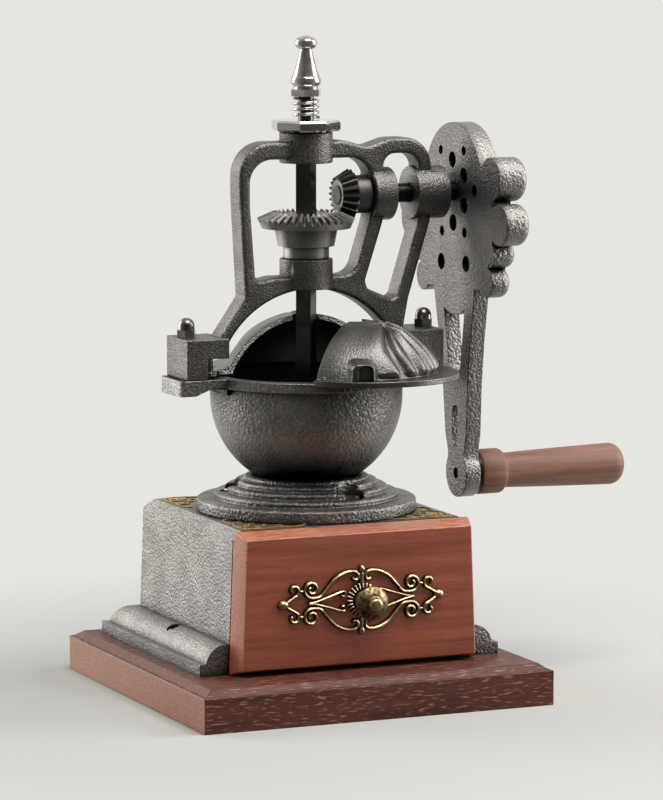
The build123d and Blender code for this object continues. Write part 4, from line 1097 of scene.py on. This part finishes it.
@dataclass(frozen=True)
class LidShell(LidRelief):
    """Scallop shell: broad ribs that fan out from a hinge near the dome's top down to the rim."""

    grid: tuple[int, int] = (200, 90)
    polar_span: Pair = (9.2, 63.8)  # degrees down from the dome's top
    azimuth_span: Pair = (-179.2, -0.8)  # degrees round it
    border: Pair = (3.0, 5.0)  # degrees down and round
    cut_gap: float = 0.5
    back: float = 1.0
    hinge: Pair = (-91.0, 17.0)  # degrees round and down
    half_width: float = 23.0
    widest_down: float = 28.0
    least_grown: float = 0.02
    flare: float = 1.3
    groove_step: float = 0.4
    groove_power: float = 0.75
    groove_share: float = 0.35
    rib_height: float = 3.1
    rib_rise: float = 12.0
    rib_droop: float = 0.6
    shell_step: float = 1.6
    swell: float = 2.5
    swell_reach: float = 9.0
    swell_rise: Pair = (9.0, 0.6)  # its length, and its share at the hinge
    hollow: Pair = (0.8, 0.11)  # place and width, in shares of the shell's half width
    hollow_rise: float = 16.0
    bud_height: float = 2.4
    bud_radius: float = 3.4
    bud_down: float = 1.0

    def height(self, across: np.ndarray, down: np.ndarray) -> np.ndarray:
        """Height of the relief over the dome: ribs that follow the cosine of the share of the shell's half
        width, which grows as a sine below the hinge, with a hollow along each flank, a soft swell outside
        the shell and a bud on the hinge.

        Args:
            across: way along the dome to the side of the hinge.
            down: way along the dome below the hinge.

        Returns:
            The height at each place.
        """
        grown = np.clip(down / self.widest_down, self.least_grown, 1)
        width = self.half_width * np.sin(grown * np.pi / 2) ** self.flare
        share = np.abs(across) / width
        ribs = (0.5 - 0.5 * np.cos(2 * np.pi * share / self.groove_step)) ** self.groove_power
        shell = self.rib_height * (self.groove_share + (1 - self.groove_share) * ribs)
        shell = shell * np.clip(down / self.rib_rise, 0, 1) - self.rib_droop * ribs * np.clip(share, 0, 1)
        outside = np.maximum(np.abs(across) - width, 0) + np.maximum(-down, 0)
        around = self.swell * np.exp(-((outside / self.swell_reach) ** 2))
        around = around * np.clip(down / self.swell_rise[0] + self.swell_rise[1], 0, 1)
        inside = smooth_step(0.5 + (1 - share) * width / self.shell_step)
        flank = np.exp(-(((share - self.hollow[0]) / self.hollow[1]) ** 2))
        kept = 1 - flank * np.clip(down / self.hollow_rise, 0, 1)
        bud = np.exp(-((np.hypot(across, down - self.bud_down) / self.bud_radius) ** 4))
        return np.maximum((inside * shell + (1 - inside) * around) * kept, self.bud_height * bud)

    def surface(self) -> Surface:
        """A closed skin: its face is the dome's radius plus the height, its back lies in the lid's wall, and
        its border sinks below the dome.

        Returns:
            The shell on the closed front lid.
        """
        polar = np.radians(np.linspace(*self.polar_span, self.grid[1]))
        azimuth = np.radians(np.linspace(*self.azimuth_span, self.grid[0]))[:, None]
        across = self.dome_radius * np.sin(polar) * (azimuth - math.radians(self.hinge[0]))
        down = np.broadcast_to(self.dome_radius * (polar - math.radians(self.hinge[1])), across.shape)
        border = np.minimum(
            np.minimum(polar - polar[0], polar[-1] - polar) / math.radians(self.border[0]),
            np.minimum(azimuth - azimuth[0], azimuth[-1] - azimuth) / math.radians(self.border[1]),
        )
        fade = np.clip(border, 0, 1)
        face = self.dome_radius + self.height(across, down) * fade - self.sink * (1 - fade)
        radius = np.concatenate([face, np.full_like(face, self.dome_radius - self.back)], axis=1)
        ring = np.concatenate([polar, polar[::-1]])
        x = radius * np.sin(ring) * np.cos(azimuth)
        y = np.minimum(radius * np.sin(ring) * np.sin(azimuth), -self.cut_gap)
        z = self.dome_centre_z + radius * np.cos(ring)
        return closed_skin(np.stack([x, y, z], axis=2))


@dataclass(frozen=True)
class LidNiche(LidRelief):
    """Hooded finger hold near the lid's free end: a soft-edged block on the dome with a hollow in its face.
    The block and the hollow each have a half width, a top and a corner radius."""

    grid: tuple[int, int] = (96, 90)
    heading: float = 213.0
    floor_z: float = 165.9
    reach: float = 46.0
    hood: Place = (6.6, 176.4, 4.2)
    hood_step: float = 3.0
    hollow: Place = (3.1, 174.4, 2.6)
    hollow_step: float = 1.6
    hollow_shift: float = 1.2
    hollow_depth: float = 2.6
    span: Pair = (9.5, 184.0)  # half width and top
    border: float = 1.5
    back: float = 1.2
    least_wall: float = 0.6
    plain_half_width: float = 7.2
    plain_inside: float = 30.0
    plain_span: Pair = (167.0, 182.0)
    dome_wall: float = 2.7
    dome_slack: float = 0.05

    def frame_axes(self) -> np.ndarray:
        """Directions of across, up and out of the niche, as the lid lies when it is closed.

        Returns:
            Three rows.
        """
        angle = math.radians(self.heading)
        out = (math.cos(angle), math.sin(angle), 0)
        return np.array([(-out[1], out[0], 0), (0, 0, 1), out])

    def covers(self, points: np.ndarray) -> np.ndarray:
        """Tell which points of the lid, where it stands, belong to the plain niche that this one takes over.

        Args:
            points: places in millimetres.

        Returns:
            True for each point that is covered.
        """
        closed = (points - self.pivot()) @ self.axes().T + self.pivot()
        across, up, out = (closed @ self.frame_axes().T).T
        low, high = self.plain_span
        on_block = (np.abs(across) < self.plain_half_width) & (out > self.plain_inside)
        on_block &= (up > low) & (up < high)
        beyond = np.linalg.norm(closed - np.array([0, 0, self.dome_centre_z]), axis=1) - self.dome_radius
        return on_block & (np.abs(beyond) > self.dome_slack) & (beyond > -self.dome_wall)

    def block(self, across: np.ndarray, up: np.ndarray, size: Place, soft: float) -> np.ndarray:
        """Share of a round-cornered block: full inside it and none outside, with a soft step at its border.

        Args:
            across: places across the niche.
            up: heights.
            size: half width, top and corner radius.
            soft: width of the step.

        Returns:
            The share at each place.
        """
        half, top, corner = size
        aside = np.maximum(np.abs(across) - half + corner, 0)
        above = np.maximum(up - top + corner, 0)
        return smooth_step(0.5 - (np.hypot(aside, above) - corner) / soft)

    def surface(self) -> Surface:
        """A closed skin: its face is the dome, drawn out to the block's flat front where the block is and
        pushed in where the hollow is; its back lies in the lid's wall and its border sinks below the dome.

        Returns:
            The niche on the closed front lid.
        """
        across = np.linspace(-self.span[0], self.span[0], self.grid[0])[:, None]
        up = np.linspace(self.floor_z, self.span[1], self.grid[1])
        dome = np.sqrt(self.dome_radius**2 - across**2 - (up - self.dome_centre_z) ** 2)
        hood = self.block(across, up, self.hood, self.hood_step)
        hollow = self.block(across - self.hollow_shift, up, self.hollow, self.hollow_step)
        edge = np.minimum(self.span[0] - np.abs(across), self.span[1] - up) / self.border
        face = dome + np.maximum(self.reach - dome, 0) * hood - self.hollow_depth * hollow * hood
        face -= self.sink * (1 - np.clip(edge, 0, 1))
        back = np.minimum(dome - self.back, face - self.least_wall)
        out = np.concatenate([face, back[:, ::-1]], axis=1)
        points = np.stack(np.broadcast_arrays(across, np.concatenate([up, up[::-1]]), out), axis=2)
        return closed_skin(points @ self.frame_axes())


@dataclass(frozen=True)
class Lid:
    """Half lid that swings on an upright pin: a smooth dome with a finger hold and a scallop shell."""

    body: str
    turn: float
    pivot_x: float
    finish: Finish
    edge: float = 0.5

    def build(self) -> None:
        """Recast the dome without its plain niche, and add the soft niche and the shell."""
        niche = LidNiche(self.body, self.turn, self.pivot_x)
        self.finish.dress(recast(self.body, self.edge, covered=niche))
        niche.build(self.body + "_niche", self.finish)
        LidShell(self.body, self.turn, self.pivot_x).build(self.body + "_shell", self.finish)


@dataclass(frozen=True)
class SoftBox:
    """Rectangular studio lamp: its centre, the point it faces, its width and height, and its watts."""

    name: str
    place: Place
    target: Place
    size: Pair
    power: float

    def build(self) -> None:
        """Hang the lamp."""
        data = bpy.data.lights.new(self.name, "AREA")
        data.shape = "RECTANGLE"
        data.size, data.size_y = [value * MM for value in self.size]
        data.energy = self.power
        lamp = bpy.data.objects.new(self.name, data)
        lamp.location = [value * MM for value in self.place]
        aim = Vector(self.target) - Vector(self.place)
        lamp.rotation_euler = aim.to_track_quat("-Z", "Y").to_euler()
        bpy.context.scene.collection.objects.link(lamp)


@dataclass(frozen=True)
class Studio:
    """Pale sweep, two tall soft boxes at the sides and one overhead, a dim room in front, and the camera."""

    backdrop: str = "e6e5e1"
    paper: str = "bebdb9"
    lamps: tuple[SoftBox, ...] = (
        SoftBox("left_box", (-800, 820, 400), (0, 0, 170), (700, 1200), 10.5),
        SoftBox("right_box", (850, -280, 480), (60, 0, 220), (500, 900), 7.5),
        SoftBox("top_box", (150, -500, 1400), (0, 0, 170), (1000, 800), 17.0),
    )
    camera_place: Place = (-856.1, -1993.3, 422.0)
    camera_turn: float = 23.585
    camera_dip: float = 7.175
    focal_pixels: float = 4271.4
    sensor_height: float = 32.0
    view_reach: float = 50000.0
    floor_half: float = 6000.0
    shade_radius: Pair = (170.0, 420.0)  # where shadow is full, and where it is gone
    fill: float = 0.35
    room_heading: Place = (-0.4, -0.917, 0.0)
    room_edge: Pair = (1.0, -0.7)  # cosine to the room's heading where it is dim, and where it is full
    room_dim: float = 0.08

    def camera(self) -> None:
        """Place the camera; its lens is to its sensor's height as focal_pixels is to the photograph's."""
        data = bpy.data.cameras.new("camera")
        data.sensor_fit = "VERTICAL"
        data.sensor_height = self.sensor_height
        data.lens = self.focal_pixels / PHOTO_HEIGHT * self.sensor_height
        data.clip_end = self.view_reach * MM
        camera = bpy.data.objects.new("camera", data)
        camera.location = [value * MM for value in self.camera_place]
        camera.rotation_euler = (math.radians(90 - self.camera_dip), 0, math.radians(-self.camera_turn))
        bpy.context.scene.collection.objects.link(camera)
        bpy.context.scene.camera = camera

    def room(self, tree: Tree, heading: Socket) -> Socket:
        """Brightness that the gloss meets in a direction: dim towards the room, full behind the object.

        Args:
            tree: node tree that gets the nodes.
            heading: direction from the object.

        Returns:
            The brightness.
        """
        ways = {0: heading, 1: self.room_heading}
        ahead = add(tree, "ShaderNodeVectorMath", ways, "Value", operation="DOT_PRODUCT")
        dim, full = self.room_edge
        light = {"Value": ahead, "From Min": dim, "From Max": full, "To Min": self.room_dim}
        return add(tree, "ShaderNodeMapRange", light, interpolation_type="SMOOTHSTEP")

    def shown(self, tree: Tree) -> Socket:
        """Tell rays that show the backdrop itself from rays that light the object.

        Args:
            tree: node tree that gets the nodes.

        Returns:
            An output that is one for camera and transmitted rays.
        """
        seen = add(tree, "ShaderNodeLightPath", out="Is Camera Ray")
        through = add(tree, "ShaderNodeLightPath", out="Is Transmission Ray")
        return add(tree, "ShaderNodeMath", {0: seen, 1: through}, operation="MAXIMUM")

    def surroundings(self) -> None:
        """Light the world a little, show the camera a plain pale backdrop, and show the gloss that backdrop
        behind the object and a dim room in front of it."""
        world = bpy.data.worlds.new("studio")
        bpy.context.scene.world = world
        world.use_nodes = True
        tree = world.node_tree
        room = self.room(tree, add(tree, "ShaderNodeTexCoord", out="Generated"))
        gloss = add(tree, "ShaderNodeLightPath", out="Is Glossy Ray")
        light = add(tree, "ShaderNodeMix", {"Factor": gloss, "A": self.fill, "B": room})
        strength = add(tree, "ShaderNodeMath", {0: light, 1: self.shown(tree)}, operation="MAXIMUM")
        feed(tree.nodes["Background"], {"Color": linear(self.backdrop), "Strength": strength})

    def sweep(self) -> bpy.types.Material:
        """Paper that takes the object's shadow close by and turns to plain backdrop further out.

        Returns:
            The floor's material.
        """
        material = bpy.data.materials.new("pale_paper_sweep")
        material.use_nodes = True
        tree = material.node_tree
        tree.nodes.remove(tree.nodes["Principled BSDF"])
        place = add(tree, "ShaderNodeTexCoord", out="Object")
        reach = add(tree, "ShaderNodeVectorMath", {0: place}, "Value", operation="LENGTH")
        near, far = self.shade_radius
        span = {"Value": reach, "From Min": near * MM, "From Max": far * MM}
        fade = add(tree, "ShaderNodeMapRange", span, interpolation_type="SMOOTHSTEP")
        gloss = add(tree, "ShaderNodeLightPath", out="Is Glossy Ray")
        heading = add(tree, "ShaderNodeVectorMath", {0: place}, operation="NORMALIZE")
        seen = add(tree, "ShaderNodeMath", {0: fade, 1: self.shown(tree)}, operation="MULTIPLY")
        plain = add(tree, "ShaderNodeMath", {0: seen, 1: gloss}, operation="MAXIMUM")
        bright = add(tree, "ShaderNodeMix", {"Factor": gloss, "A": 1.0, "B": self.room(tree, heading)})
        paper = add(tree, "ShaderNodeBsdfDiffuse", {"Color": linear(self.paper)})
        glow = add(tree, "ShaderNodeEmission", {"Color": linear(self.backdrop), "Strength": bright})
        mixed = add(tree, "ShaderNodeMixShader", {0: plain, 1: paper, 2: glow})
        feed(tree.nodes["Material Output"], {"Surface": mixed})
        return material

    def floor(self) -> None:
        """Lay the floor."""
        half = self.floor_half * MM
        mesh = bpy.data.meshes.new("floor")
        corners = [(-half, -half, 0), (half, -half, 0), (half, half, 0), (-half, half, 0)]
        mesh.from_pydata(corners, [], [(0, 1, 2, 3)])
        mesh.materials.append(self.sweep())
        floor = bpy.data.objects.new("floor", mesh)
        bpy.context.scene.collection.objects.link(floor)

    def build(self) -> None:
        """Set up the view, the camera, the light and the floor."""
        bpy.context.scene.view_settings.view_transform = "Standard"
        self.camera()
        for lamp in self.lamps:
            lamp.build()
        self.surroundings()
        self.floor()


def main() -> None:
    """Build the studio and the sub-assemblies in order."""
    logging.basicConfig(level=logging.INFO)
    front_lid = Lid("front_lid", turn=39.0, pivot_x=53.5, finish=LID_IRON)
    rear_lid = Lid("rear_lid", turn=180.0, pivot_x=0.0, finish=ROUGH_EDGED_LID_IRON)
    for part in (Studio(), Stand(), Drawer(), GearTrain(), Crank(), front_lid, rear_lid):
        part.build()
        log.info("%s built", type(part).__name__)


if __name__ == "__main__":
    main()
